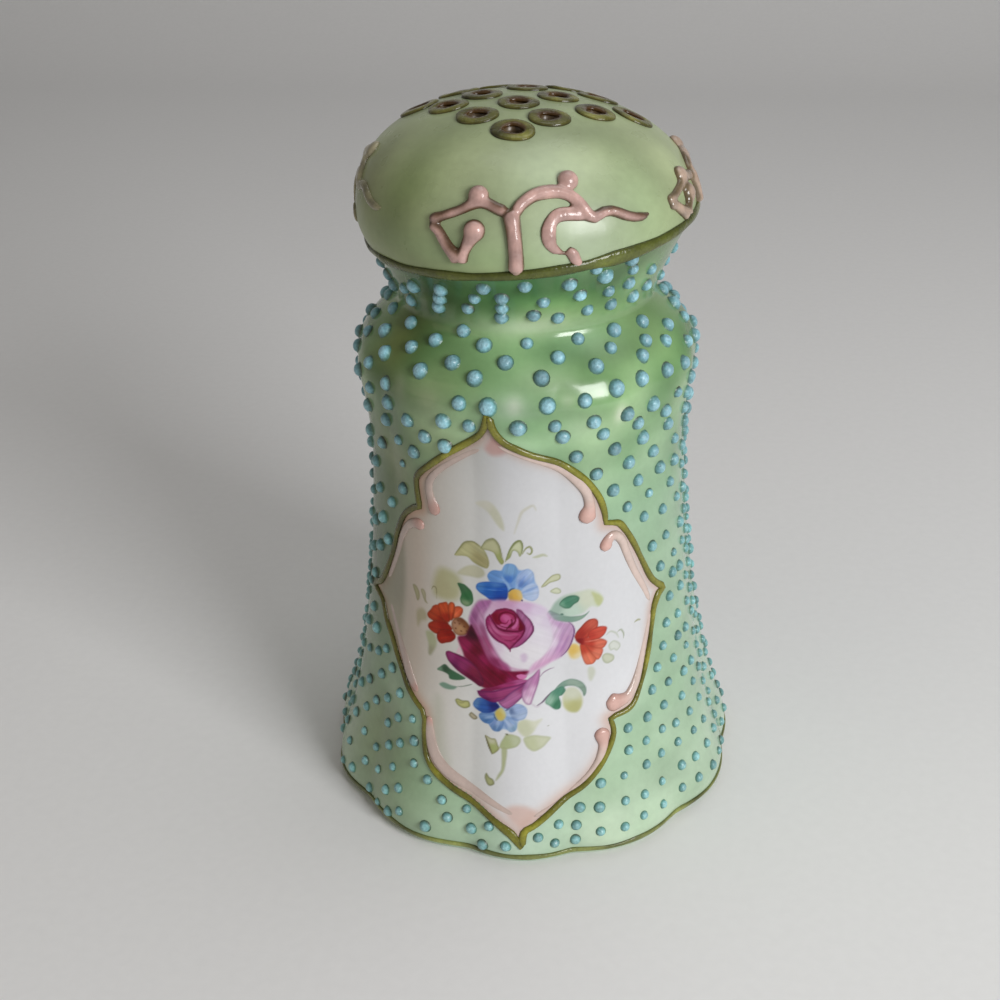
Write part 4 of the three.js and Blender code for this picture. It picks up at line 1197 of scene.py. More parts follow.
class Canvas:
    """The paint on the panel: one colour for each point of its sheet."""

    def __init__(self, place, distance):
        self.flat = flat_place(place)
        self.daylight = np.interp(place[:, 0], *np.array(daylight_shares).T)
        rim = np.exp(-(np.maximum(-distance - 0.4, 0) / 1.3) ** 2)[:, None]
        self.colours = blend(panel_white, panel_pink, rim)
        # The white darkens towards the top, and to the left as painted shade
        self.colours *= np.interp(place[:, 1], *np.array(white_height_shares).T)[:, None]
        self.colours *= colour_table(white_side_shade_shares, place[:, 0])

    def near(self, curve, margin):
        low, high = curve.min(axis=0) - margin, curve.max(axis=0) + margin
        return np.flatnonzero(np.all((self.flat > low) & (self.flat < high), axis=1))

    def lay(self, index, ink, cover):
        ink = np.clip(ink / self.daylight[index, None], 0, 250)
        self.colours[index] = blend(self.colours[index], ink, cover[:, None])

    def patch(self, outline, shades, edge=None, soft=0.12, cover=1.0, streak=0.0, lie=0.0):
        """A brushed shape, whose ink blends between spots of (angle, height, ink).

        The edge is (ink, width, cover), and the streaks lie at an angle from level.
        """
        curve = closed_curve(outline)
        index = self.near(curve, soft)
        flat = self.flat[index]
        depth = -outline_distance(flat, curve)
        spots = flat_place([shade[:2] for shade in shades])
        weight = 1 / (((flat[:, None] - spots) ** 2).sum(axis=-1) + 0.12) ** 1.4
        ink = weight @ np.array([shade[2] for shade in shades], float) / weight.sum(axis=1, keepdims=True)
        if edge:
            edge_ink, edge_width, edge_cover = edge
            rim = edge_cover * np.exp(-(np.maximum(depth, 0) / edge_width) ** 2)[:, None]
            ink = blend(ink, edge_ink, rim)
        ink = ink * (1 + streak * bristles(flat, lie))[:, None]
        self.lay(index, ink, cover * smoothstep(depth, -soft, soft))

    def line(self, points, width, ink, cover=1.0, soft=0.08):
        """A thin brushed line that narrows towards its ends."""
        curve = spline(flat_place(points), 12 * (len(points) - 1))
        share = np.linspace(0, 1, len(curve))
        thin = 0.3 + 0.7 * np.sin(np.pi * np.minimum(share, 1 - share))
        index = self.near(curve, width)
        gap = np.sqrt(((self.flat[index][:, None] - curve) ** 2).sum(axis=-1))
        nearest = gap.argmin(axis=1)
        depth = width / 2 * thin[nearest] - gap[np.arange(len(index)), nearest]
        self.lay(index, np.array(ink, float), cover * smoothstep(depth, -soft, soft))


def panel_shade(patch, line):
    """Painted reflection and shade in grey green where the panel turns away on the left, and the pink in its
    tips.
    """
    # A painted reflection in grey green along the left tip
    patch([(-58, 43), (-52, 52), (-45, 56), (-42, 53), (-41, 46), (-41.5, 38), (-43, 32), (-52, 36)],
          [(-50, 44, (104, 106, 88)), (-44, 36, (124, 122, 102))], soft=1.1, cover=0.5)
    # Painted shade low on the left
    patch([(-25, 27), (-22.5, 27), (-20.5, 20), (-18.5, 16), (-20.5, 15.4), (-23.6, 18), (-25, 22)],
          [(-22, 20, (146, 152, 132))], soft=1.2, cover=0.35)
    patch([(-6.4, 74.6), (-3.2, 76.6), (0.8, 74.6), (-0.6, 73.6), (-3.6, 73.2), (-5.6, 73.6)],
          [(-3, 75, (176, 134, 128))], soft=0.6, cover=0.7)
    patch([(-0.6, 9.6), (3.6, 7.2), (8.4, 9.3), (6, 10.5), (3, 10.8), (0.6, 10.5)],
          [(3.6, 9, (206, 172, 160))], soft=0.6, cover=0.7)


def pale_leaves(patch, line):
    """Faint olive leaves behind the flowers."""
    dull = (122, 124, 86)
    patch([(-27, 46.3), (-26.5, 49.5), (-24, 51.3), (-19, 51), (-16.5, 49.5), (-17.5, 46.5), (-22, 45.6)],
          [(-23, 48, (146, 142, 104)), (-18, 49, (150, 150, 112))], soft=0.9, cover=0.8)
    patch([(-11, 64), (-8, 64.7), (-5.2, 64.5), (-3, 63.3), (-1.3, 61.5), (-1, 59.9), (-3, 60.6), (-5, 61.9),
           (-7, 63)], [(-4, 62.5, (176, 176, 150)), (-8, 64, (186, 184, 168))], soft=0.3, cover=0.7)
    line([(2.5, 59.5), (3.8, 61.5), (5, 63.1), (6.9, 63.9), (8.9, 64.3), (9.9, 63.5)], 0.5, (184, 182, 164),
         cover=0.6, soft=0.2)
    patch([(-18.8, 54.2), (-17, 55.6), (-15, 56.7), (-12, 57.1), (-9.5, 56.6), (-7.5, 55.6), (-6.3, 54),
           (-7, 52.8), (-9.5, 52.9), (-12, 53.4), (-14, 54.2), (-16, 54.3)],
          [(-15, 55, (164, 162, 122)), (-10, 54.4, (146, 140, 100)), (-8, 56, (166, 164, 128))],
          edge=((130, 130, 88), 0.3, 0.5), streak=0.05, lie=-30)
    line([(-18.8, 54.2), (-17, 55.6), (-15, 56.8), (-12, 57.1), (-10, 56.5)], 0.3, (112, 112, 72), cover=0.8)
    patch([(-17.8, 51), (-15, 52.4), (-12, 52.9), (-9, 52.6), (-8, 51.6), (-10, 50.8), (-13, 50.8)],
          [(-12, 51.8, (164, 162, 134))], edge=((146, 146, 114), 0.25, 0.5), soft=0.3, cover=0.75)
    patch([(-9.2, 56.2), (-7.5, 57.5), (-4.8, 58.1), (-3.2, 57.4), (-2.3, 56.3), (-1.9, 55.2), (-1.1, 54.4),
           (-2, 53.8), (-3.4, 54.6), (-4.6, 55.7), (-6.4, 56)],
          [(-5, 57, (172, 172, 138)), (-1.8, 54.6, (146, 154, 96))], edge=(dull, 0.22, 0.6))
    line([(-9.2, 56.2), (-7.5, 57.6), (-4.8, 58.2), (-3, 57.4), (-2.2, 56.2), (-1.6, 55)], 0.3, dull,
         cover=0.8)
    patch([(-0.6, 54.6), (0.4, 56), (2, 57.5), (4, 58.2), (5.1, 57.6), (5, 56.2), (4.2, 55.4), (3.4, 56.2),
           (2, 56.4), (1, 55.2)], [(2, 56.8, (190, 194, 162)), (0.2, 55, (150, 158, 104))],
          edge=((126, 134, 92), 0.22, 0.8))
    line([(-0.6, 54.4), (0.6, 56.2), (2.4, 57.7), (4.3, 58.2), (5.2, 57.3), (4.9, 56)], 0.34, (122, 130, 88))
    line([(5, 55.8), (6.2, 56.8), (7.6, 57.1), (8.3, 56.4), (7.6, 55.8), (6.6, 56.1)], 0.34, (140, 144, 104))
    line([(8.6, 55.2), (10, 55.3), (12, 55.5), (13.4, 55.2)], 0.5, (176, 180, 152), cover=0.8, soft=0.15)
    patch([(11.2, 49.8), (12.2, 50.5), (13.7, 51.2), (15.1, 51.7), (16.9, 51.8), (17.8, 51.5), (17.7, 50.9),
           (16.6, 50.6), (14.2, 50.4), (12.6, 49.9)], [(15, 51, (196, 198, 168))],
          edge=((134, 138, 98), 0.16, 0.95))
    patch([(14.2, 48.8), (15.2, 49.2), (16.6, 49.3), (17.8, 48.8), (17.6, 48.3), (16, 48.3)],
          [(16, 48.8, (202, 206, 182))], edge=((142, 150, 112), 0.14, 0.9))


def side_leaves(patch, line):
    """Leaves at the sides and below, from deep green to yellow green."""
    patch([(-17.8, 49.2), (-15.6, 49.2), (-14, 48.7), (-12.8, 48.1), (-12.3, 47.3), (-12.2, 46.3),
           (-13, 45.6), (-14.6, 45.2), (-16.4, 45.6), (-16.9, 46.4), (-16.5, 47.3), (-17, 48.2)],
          [(-14.5, 47, (44, 92, 54)), (-16.5, 48.8, (58, 90, 62)), (-15, 45.6, (112, 132, 100))],
          edge=((40, 78, 48), 0.25, 0.5), streak=0.06, lie=-60)
    patch([(13.6, 44.8), (14.6, 45.9), (15.7, 46.7), (17.5, 47.4), (20, 47.9), (24, 48.2), (28, 48.3),
           (31, 47.4), (32.4, 46), (30.6, 44.9), (28, 45.2), (25, 44.2), (20, 43.7), (16, 43.9)],
          [(16, 45.6, (148, 172, 158)), (21, 44.8, (186, 208, 192)), (27, 46.8, (204, 210, 188))], soft=0.35,
          cover=0.9)
    patch([(28.4, 47.7), (30, 47.4), (31.8, 46.7), (32.4, 45.9), (30.9, 45), (29.6, 45.7), (29, 46.7)],
          [(31, 46.4, (184, 190, 138))], soft=0.3, cover=0.85)
    patch([(17.2, 46.3), (18.4, 47.1), (20.5, 47.6), (22.8, 47.6), (24.1, 47.1), (23.6, 46.4), (22.2, 46),
           (20.8, 45.4), (19.2, 45.4), (17.9, 45.8)],
          [(20, 46.4, (74, 130, 104)), (18, 46, (116, 160, 136)), (23, 47.2, (84, 132, 108))],
          edge=((58, 98, 78), 0.2, 0.7), streak=0.05, lie=20)
    patch([(12.9, 45), (13.4, 44.2), (15.4, 43.5), (18.4, 43), (21.6, 42.8), (24.4, 43.1), (26.2, 43.7),
           (27.4, 44.4), (25.6, 43.9), (23.4, 43.8), (20.4, 43.9), (18, 44.3), (15.4, 45), (14, 45.4)],
          [(14, 44.5, (138, 150, 152)), (20, 43.4, (128, 158, 144)), (25, 43.5, (140, 166, 148))],
          edge=((112, 140, 126), 0.2, 0.6), streak=0.05)
    line([(17.6, 44.5), (18.6, 44.3)], 0.3, (84, 116, 104))
    patch([(14.8, 30.8), (16, 31.6), (17.8, 32.2), (20.2, 32.5), (22.4, 32.2), (24.2, 31.5), (25.1, 30.5),
           (24.9, 29.5), (24.2, 29.1), (23.7, 30), (22.5, 30.8), (20.7, 31.2), (18.4, 31.2), (16.6, 30.6)],
          [(17, 31.4, (128, 158, 144)), (21, 31.8, (152, 172, 158)), (24.6, 30.2, (134, 158, 142))],
          edge=((104, 132, 120), 0.18, 0.6), streak=0.05)
    patch([(17.4, 29.4), (19, 30.8), (21.6, 30.8), (23.4, 29.6), (23.6, 27.8), (22, 26.4), (19.4, 26.5),
           (17.6, 27.6)], [(21, 27.4, (182, 182, 120)), (20.6, 29.8, (206, 210, 188))], soft=0.3, cover=0.9)
    patch([(11.6, 28.9), (13.2, 30.4), (15.2, 31), (17.4, 31.3), (18.4, 30.5), (17.2, 29.7), (16.2, 29.5),
           (16.7, 28.4), (16.4, 27.4), (14.8, 27.3), (13, 28.1)],
          [(13, 29, (150, 184, 164)), (16.6, 30.5, (84, 136, 114)), (15.4, 28.2, (66, 120, 92))],
          edge=((70, 112, 94), 0.2, 0.4), streak=0.05, lie=60)
    line([(9, 28.4), (10.8, 29), (12.2, 29.8), (13.5, 30.5)], 0.3, (116, 104, 120))
    patch([(-24.7, 32.4), (-23.4, 33.2), (-21.8, 33.8), (-20, 33.2), (-18, 32.8), (-15.6, 32.3),
           (-14.6, 31.9), (-17, 31.4), (-19.9, 31.3), (-20.6, 32), (-22.4, 32.3)],
          [(-23.5, 32.7, (100, 126, 104)), (-22, 32.9, (44, 66, 48)), (-18.5, 32, (56, 92, 66))],
          edge=((64, 92, 72), 0.15, 0.3))
    patch([(-23.6, 29.9), (-22, 30.4), (-19.5, 30.2), (-17.5, 30.1), (-18.6, 29.5), (-21, 29.3),
           (-22.8, 29.5)], [(-21, 29.9, (106, 132, 116))], soft=0.2)
    line([(-18.6, 30), (-15.4, 30.4), (-13, 30.9), (-12.2, 31.1)], 0.2, (104, 116, 104), cover=0.8)
    patch([(-17.8, 27.6), (-17, 28), (-15.4, 27.8), (-13.5, 27.9), (-12.8, 27.4), (-13, 26.8), (-14.8, 26.4),
           (-16.9, 26.8)], [(-15, 27.2, (168, 168, 112))], edge=((108, 110, 72), 0.25, 0.85))
    line([(-17.4, 27.5), (-15.8, 27.3), (-14.6, 27.5)], 0.2, (124, 124, 84), cover=0.7)
    patch([(-13, 25.3), (-12.3, 25.9), (-11.2, 25.6), (-10.2, 25.2), (-10.6, 24.8), (-11.7, 24.7)],
          [(-11.7, 25.3, (168, 160, 138))], edge=((98, 94, 68), 0.2, 0.9))


def edge_sprigs(patch, line):
    """Small outlined leaves and washes near the panel's sides."""
    dark = (108, 104, 72)
    patch([(-36.6, 46), (-35, 46.2), (-33.4, 45.4), (-33.2, 44.2), (-34.2, 43.6), (-35.2, 44.6)],
          [(-34.6, 45, (140, 138, 104))], edge=(dark, 0.25, 0.7), soft=0.2, cover=0.8)
    patch([(-32.6, 45.9), (-31.4, 46.2), (-30.4, 45.6), (-30.2, 44.4), (-29.4, 43.9), (-30.6, 44),
           (-31.6, 44.8)], [(-31.4, 45.2, (146, 142, 116))], edge=(dark, 0.22, 0.7), soft=0.15, cover=0.8)
    line([(-27.8, 46.8), (-27.2, 47.4), (-26.2, 47.4), (-25.8, 46.8), (-25.7, 45.4)], 0.22, (118, 114, 84))
    patch([(-34.4, 41.4), (-32, 42.6), (-29.8, 42), (-29.8, 40.8), (-32, 40.2), (-33.6, 39)],
          [(-31.8, 41.4, (136, 130, 98))], soft=0.5, cover=0.6)
    patch([(-29.8, 38.6), (-27, 39), (-25.4, 37.8), (-25.6, 36.4), (-27.4, 34.7), (-28.4, 34.9),
           (-28.6, 36.6)], [(-27.5, 37.6, (136, 142, 106)), (-27.8, 35.2, (120, 120, 92))], soft=0.35,
          cover=0.7)
    patch([(31, 35.6), (32.2, 36.1), (34, 35.8), (35.3, 35.2), (35, 34.5), (33, 34.2), (31.6, 34.6)],
          [(33.2, 35.1, (194, 198, 174))], edge=((148, 156, 122), 0.22, 0.8), soft=0.15, cover=0.85)
    patch([(33.6, 37.4), (35.4, 38), (37.4, 37.4), (38, 36.6), (36.6, 36), (35.4, 36.4), (34.2, 36.4)],
          [(35.8, 37, (208, 212, 202))], edge=((154, 164, 136), 0.2, 0.8), soft=0.15, cover=0.75)
    line([(37.2, 39.3), (38.6, 39.5), (39.6, 38.6), (39.4, 37.8)], 0.3, (154, 162, 140), cover=0.8)
    line([(33, 39.4), (34.6, 39.8), (36.6, 39.2), (37.6, 38.2)], 0.3, (176, 184, 164), cover=0.7, soft=0.15)
    line([(44.6, 39.7), (46.2, 39.8), (47.6, 39.5)], 0.36, (148, 150, 108), cover=0.7)
    patch([(26, 34), (27.6, 34.2), (28.4, 33.2), (27.2, 31.8), (26.2, 32)], [(27, 33, (196, 200, 182))],
          soft=0.3, cover=0.8)


def lower_leaves(patch, line):
    """The pale leaves and the stem under the lower blue flower."""
    patch([(3, 25.4), (5, 26), (8, 25.7), (10.5, 25.9), (9, 24.8), (7.6, 23.6), (5.6, 22.8), (3.8, 23.4),
           (2.8, 24.4)], [(5, 24.6, (188, 192, 160)), (9, 25.4, (206, 208, 186))], soft=0.3, cover=0.85)
    patch([(4.8, 22.6), (7.5, 23.1), (10, 22.9), (13, 22.4), (12, 21.6), (10.5, 20.8), (8, 20.2), (6.2, 20.7),
           (5.2, 21.5)], [(7, 21.6, (184, 190, 152)), (11, 22, (198, 202, 174))],
          edge=((160, 166, 132), 0.3, 0.5), soft=0.2, cover=0.9)
    patch([(-0.6, 23.1), (1.2, 23.2), (3.4, 22.8), (3.8, 22), (2.7, 21.1), (1, 20.7), (-1, 20.4),
           (-2.6, 20.6), (-2.2, 21.6), (-1.4, 22.4)],
          [(-0.8, 21.6, (162, 172, 124)), (2.6, 22, (176, 184, 150))], edge=((140, 146, 108), 0.25, 0.4),
          soft=0.18, cover=0.9)
    line([(-0.8, 23.2), (0, 23.1)], 0.3, (104, 104, 76))
    patch([(-7.4, 22.3), (-5.4, 22), (-4, 22), (-3.2, 21), (-2.7, 20.4), (-3.6, 19.7), (-5, 19.2),
           (-5.8, 20.2), (-6.6, 21.2)], [(-4.8, 20.4, (156, 166, 106)), (-5.4, 21.6, (186, 186, 158))],
          edge=((120, 118, 82), 0.22, 0.7))
    line([(-7.4, 22.3), (-6.6, 21.2), (-5.8, 20.1), (-5, 19.2)], 0.28, (106, 102, 72))
    patch([(-1.9, 20.6), (-0.4, 20.4), (-0.6, 18.4), (-1.2, 16.6), (-2.4, 15.4), (-3.6, 14.6), (-3, 15.6),
           (-2, 16.8), (-1.9, 18.6)], [(-1.3, 18.6, (166, 172, 132))], edge=((142, 148, 110), 0.2, 0.5),
          soft=0.2, cover=0.9)
    patch([(-6.6, 15.6), (-5.6, 15), (-4.4, 14.7), (-4, 14), (-5.3, 13.5), (-6.3, 13.8), (-7, 14.8)],
          [(-5.3, 14.4, (160, 164, 118))], edge=((104, 106, 74), 0.22, 0.8))
    line([(12.3, 24.6), (12.5, 24.5)], 0.3, (170, 172, 160))


def brush_fan(line, centre, angles, reach, inks):
    """Thin strokes that run out from a flower's centre."""
    for number, turn in enumerate(np.radians(np.arange(*angles))):
        way = np.array([math.cos(turn) / math.radians(waist_radius), math.sin(turn)])
        points = [centre + way * reach * share for share in (0.3, 0.65, 1)]
        line(points, 0.5, inks[number % len(inks)], cover=0.38, soft=0.2)


def upper_blue_flower(patch, line):
    patch([(-6.6, 50.8), (-5, 52.2), (-2, 52.8), (-0.6, 53.8), (2.2, 53.9), (4, 53), (7, 53), (8.6, 52.2),
           (9.2, 50.8), (10.2, 49.6), (9.8, 48), (7, 47.6), (4.8, 48.2), (2.6, 49.4), (0, 49), (-4, 49.8)],
          [(-3, 51, (84, 128, 190)), (1, 52, (104, 146, 200)), (6, 51, (118, 154, 204)),
           (8, 49, (150, 176, 214))], soft=0.2, cover=0.9)
    patch([(-1.4, 50.6), (-3.6, 50.5), (-6.6, 50.9), (-6.8, 51.8), (-5, 52.6), (-2.4, 52.6), (-0.2, 51.8)],
          [(-4.6, 51.6, (92, 134, 190)), (-1, 51, (110, 148, 200))], edge=((76, 120, 176), 0.2, 0.5),
          streak=0.06, lie=-20)
    patch([(-1.4, 51.4), (-1.6, 53), (-0.4, 54), (2.2, 54), (3.4, 53), (2.6, 51.6), (0.8, 50.6)],
          [(0.8, 52.8, (118, 156, 196)), (0.7, 51, (62, 108, 182))], edge=((96, 138, 186), 0.2, 0.4),
          streak=0.05, lie=80)
    patch([(3, 50.4), (3.2, 51.8), (4.6, 52.8), (7, 53.2), (8.7, 52.4), (8.4, 51.2), (6.8, 50.2),
           (4.8, 49.8)],
          [(5.6, 51.8, (150, 172, 212)), (4.4, 50.4, (96, 124, 178)), (8, 52.4, (164, 184, 214))],
          edge=((126, 152, 196), 0.2, 0.5), streak=0.05, lie=45)
    patch([(4.8, 49.6), (7, 50.4), (9.2, 50.5), (10.3, 49.4), (10, 48), (8.4, 47.4), (6.4, 47.7), (5, 48.4)],
          [(7.6, 49, (162, 182, 214)), (9.6, 48.6, (176, 190, 216))], edge=((140, 160, 200), 0.25, 0.4),
          streak=0.05, lie=10)
    brush_fan(line, np.array([2.4, 48.4]), (24, 150, 14), 3.8,
              [(84, 122, 190), (172, 194, 224), (104, 146, 202)])
    patch([(-0.6, 50.3), (-3, 50.5), (-7, 50.4), (-10.4, 49.8), (-11.2, 48.9), (-10, 48.2), (-7.6, 47.6),
           (-5.4, 47), (-2.6, 46.9), (-0.8, 47.4), (0.2, 48.6)],
          [(-3, 49, (24, 70, 158)), (-6.5, 48.9, (34, 88, 168)), (-10, 49.2, (66, 116, 178)),
           (-2.4, 47.2, (28, 44, 120)), (-4, 50.2, (70, 116, 180))], edge=((30, 60, 138), 0.2, 0.35),
          streak=0.09, lie=8)
    line([(-9, 48.9), (-5.4, 49), (-1.6, 49.2)], 0.22, (92, 136, 196), cover=0.6)
    patch([(0.1, 48.4), (0.8, 49.3), (2.4, 49.6), (4.2, 49.3), (4.9, 48.2), (4.2, 47.2), (2.4, 46.9),
           (0.7, 47.3)], [(2.4, 48.3, (206, 164, 72)), (4.4, 48.6, (206, 180, 120)), (1, 48, (176, 142, 78))],
          soft=0.2)
    line([(0.3, 49), (1.2, 49.5), (2.4, 49.7)], 0.25, (38, 70, 104), cover=0.8)
    line([(4.6, 47.7), (4.9, 47.4)], 0.3, (62, 54, 78))


def lower_blue_flower(patch, line):
    patch([(-9, 26), (-7, 24.8), (-4.6, 23.8), (-2, 24), (1, 24), (2.4, 24.6), (3.4, 25.8), (5.4, 26.6),
           (5.4, 28), (2.6, 28.4), (0, 28), (-2.6, 28.2), (-6, 27.4)],
          [(-5, 25.4, (104, 140, 190)), (1, 25, (146, 172, 208)), (3, 27.4, (160, 182, 212))], soft=0.2,
          cover=0.85)
    patch([(-6.4, 24.9), (-5.6, 23.9), (-4.5, 23.4), (-2.8, 23.5), (-1.8, 24.3), (-1.5, 25.3), (-2.6, 26),
           (-4.6, 25.8)], [(-3.4, 24, (88, 120, 164)), (-4, 25.2, (140, 160, 198))],
          edge=((94, 128, 172), 0.2, 0.4), streak=0.06, lie=70)
    patch([(-1.2, 25.4), (-0.8, 24.3), (0.6, 23.6), (2.2, 23.9), (2.8, 24.8), (2.2, 25.8), (0.6, 26.2)],
          [(0.8, 25, (158, 176, 208)), (2, 24.4, (126, 156, 182))], edge=((138, 162, 194), 0.2, 0.4),
          streak=0.05, lie=-60)
    patch([(0.3, 27.4), (1.4, 28.5), (3.6, 28.8), (5.5, 28.2), (6, 27.3), (5.2, 26.2), (3.5, 25.8),
           (1.4, 26)],
          [(2.6, 27.8, (156, 176, 212)), (0.8, 27.4, (92, 112, 150)), (4.6, 26.6, (164, 182, 210))],
          edge=((132, 156, 194), 0.2, 0.4), streak=0.05, lie=20)
    patch([(-4.6, 26.4), (-6.5, 26.6), (-9, 26.2), (-9.7, 25.6), (-9, 24.9), (-7.6, 24.5), (-6, 24.6),
           (-4.6, 25.4)], [(-6.6, 26, (116, 146, 190)), (-6.4, 25, (66, 106, 158))],
          edge=((80, 116, 166), 0.2, 0.4), streak=0.06, lie=20)
    patch([(-2.8, 27.8), (-3.6, 28.6), (-6, 28.9), (-9.6, 28.9), (-11, 28.4), (-11.8, 27.5), (-11, 26.8),
           (-8.6, 26.3), (-6.2, 26.5), (-4.4, 27)],
          [(-8.4, 27.4, (44, 84, 158)), (-11, 27.8, (84, 122, 168)), (-4.4, 28, (30, 36, 104))],
          edge=((34, 66, 136), 0.2, 0.35), streak=0.09, lie=8)
    brush_fan(line, np.array([-2.5, 26.6]), (190, 376, 17), 2.7,
              [(80, 116, 176), (176, 196, 224), (110, 146, 198)])
    patch([(-4.3, 26.7), (-3.2, 27.6), (-2, 27.8), (-0.9, 27), (-0.9, 26.2), (-2, 25.5), (-3.4, 25.6)],
          [(-2.6, 26.7, (190, 168, 82)), (-1.4, 27, (196, 192, 140))], soft=0.22)
    line([(-4.6, 26.6), (-4.2, 25.8), (-3.4, 25.4)], 0.25, (60, 84, 104), cover=0.7)
    line([(-0.8, 27.4), (0, 27.8), (0.6, 28.2)], 0.35, (70, 80, 120), cover=0.7)


def left_orange_flower(patch, line):
    brown = (104, 40, 18)
    patch([(-18.9, 44.7), (-17, 45), (-15.8, 44.5), (-16.4, 43.4), (-18, 42.7), (-19.4, 42.6), (-19.4, 43.8)],
          [(-17, 44.2, (178, 78, 48)), (-18.6, 43.2, (196, 96, 60))], edge=(brown, 0.25, 0.6), streak=0.08,
          lie=50)
    patch([(-19.4, 42.4), (-18.7, 44.8), (-19.6, 45.5), (-21, 45.1), (-21.4, 43.6), (-20.8, 42.2)],
          [(-20, 44.2, (176, 76, 40)), (-20, 42.8, (150, 50, 26))], edge=(brown, 0.22, 0.6), streak=0.08,
          lie=85)
    patch([(-20.6, 41.8), (-20.9, 43.8), (-21.6, 45.2), (-23.4, 45), (-25.2, 44.4), (-25.4, 43),
           (-23.6, 41.8)], [(-22.4, 44, (168, 68, 34)), (-21.6, 42.4, (134, 34, 18))],
          edge=(brown, 0.22, 0.6), streak=0.08, lie=-60)
    patch([(-21, 41.4), (-23.4, 42.2), (-25, 44.2), (-27, 43.9), (-28, 43.1), (-29.4, 42.1), (-28.9, 41.4),
           (-27, 41.1), (-24, 40.6)],
          [(-27, 42.4, (146, 52, 26)), (-23.4, 41.6, (126, 28, 14)), (-26, 43.6, (160, 60, 32))],
          edge=(brown, 0.22, 0.6), streak=0.09, lie=-15)
    patch([(-19.6, 40.6), (-22, 41.6), (-25, 41.6), (-27.2, 41), (-28.8, 40.3), (-28.9, 39.6), (-27.4, 39.1),
           (-25.2, 38.9), (-22, 39.4)], [(-26.4, 40, (140, 40, 22)), (-22, 40.4, (120, 22, 12))],
          edge=(brown, 0.22, 0.6), streak=0.09, lie=8)
    patch([(-18.6, 39.8), (-20.6, 40.4), (-24, 39.9), (-25.3, 38.9), (-25, 37.9), (-23.6, 37.4),
           (-21.6, 37.8), (-19.8, 38.2), (-18.4, 39)],
          [(-22.4, 38.6, (138, 34, 20)), (-21, 39.8, (116, 20, 12))], edge=((92, 28, 14), 0.25, 0.6),
          streak=0.09, lie=25)
    patch([(-19.9, 41.4), (-19.2, 42.4), (-17.6, 42.9), (-16, 42.9), (-14.2, 42.2), (-13.2, 41.3),
           (-13.8, 40.4), (-15.6, 39.8), (-17.8, 39.7), (-19.2, 40.3)],
          [(-16.6, 41, (156, 118, 84)), (-14.2, 41.8, (104, 62, 34)), (-18.6, 41.6, (150, 112, 88)),
           (-16, 42.6, (96, 56, 34))], edge=((84, 46, 26), 0.25, 0.55), soft=0.18)
    seeds = [(-18.6, 40.9), (-17.4, 41.9), (-16.6, 40.6), (-15.6, 41.5), (-17.8, 42.4), (-14.8, 40.8),
             (-19, 41.9)]
    for angle, height in seeds:
        line([(angle, height), (angle + 0.6, height - 0.2)], 0.28, (78, 42, 26), cover=0.7)


def right_orange_flower(patch, line):
    patch([(19.6, 37.8), (20.6, 38.7), (22.4, 38.8), (23.9, 38), (24, 36.8), (22.6, 36.1), (20.6, 36.3)],
          [(21.6, 37.5, (216, 182, 98)), (23, 36.6, (222, 206, 164))], soft=0.35)
    patch([(22.1, 39.8), (22.6, 40.8), (24.2, 41.7), (25.8, 42.5), (27.5, 42.9), (29.4, 42.8), (30.3, 42.1),
           (29.6, 40.8), (27, 39.8), (24, 39.1)],
          [(24.4, 40.4, (158, 48, 40)), (28.4, 41.8, (190, 88, 70)), (27, 40.4, (178, 66, 52))],
          edge=((122, 40, 30), 0.2, 0.6), streak=0.07, lie=40)
    patch([(26.6, 40.4), (29.4, 41.2), (31.6, 41.2), (33.3, 40.8), (32.9, 40), (31.8, 39.4), (30, 39),
           (27.4, 39)], [(30.6, 40.3, (196, 80, 64)), (27.6, 39.7, (182, 62, 50))],
          edge=((142, 52, 40), 0.2, 0.6), streak=0.08, lie=5)
    patch([(25.4, 38.8), (28, 39.2), (31, 39), (33, 38.3), (32.6, 37.6), (31, 37.1), (28.6, 37.3),
           (26.2, 37.8)], [(30.6, 38.1, (208, 108, 86)), (26.8, 38.4, (176, 60, 46))],
          edge=((146, 56, 42), 0.2, 0.6), streak=0.08, lie=-5)
    patch([(25.4, 38.3), (28.4, 37.8), (31, 37.2), (31.5, 36.8), (30.8, 35.9), (29.4, 35.3), (27.6, 36.2)],
          [(29.4, 36.4, (212, 116, 92)), (26.6, 37.8, (184, 70, 52))], edge=((150, 62, 46), 0.2, 0.55),
          streak=0.08, lie=-35)
    patch([(23.8, 38.6), (25.6, 38.4), (27.4, 36.9), (29, 35.6), (28, 34.8), (26.6, 34.7), (25.3, 34.9),
           (24.4, 36), (23.9, 37.2)], [(25.8, 35.8, (218, 120, 92)), (25, 37.8, (182, 66, 48))],
          edge=((152, 64, 44), 0.2, 0.6), streak=0.08, lie=-70)
    patch([(22.4, 39.6), (24.2, 39.7), (26.8, 39.6), (27.4, 38.9), (25.6, 38.4), (24, 38.6), (22.8, 39.1)],
          [(23.6, 39.2, (128, 26, 28)), (26.6, 39.1, (186, 70, 56))], soft=0.15)
    line([(25.4, 38.9), (28.4, 38.9), (31.4, 39)], 0.18, (226, 150, 132), cover=0.7)


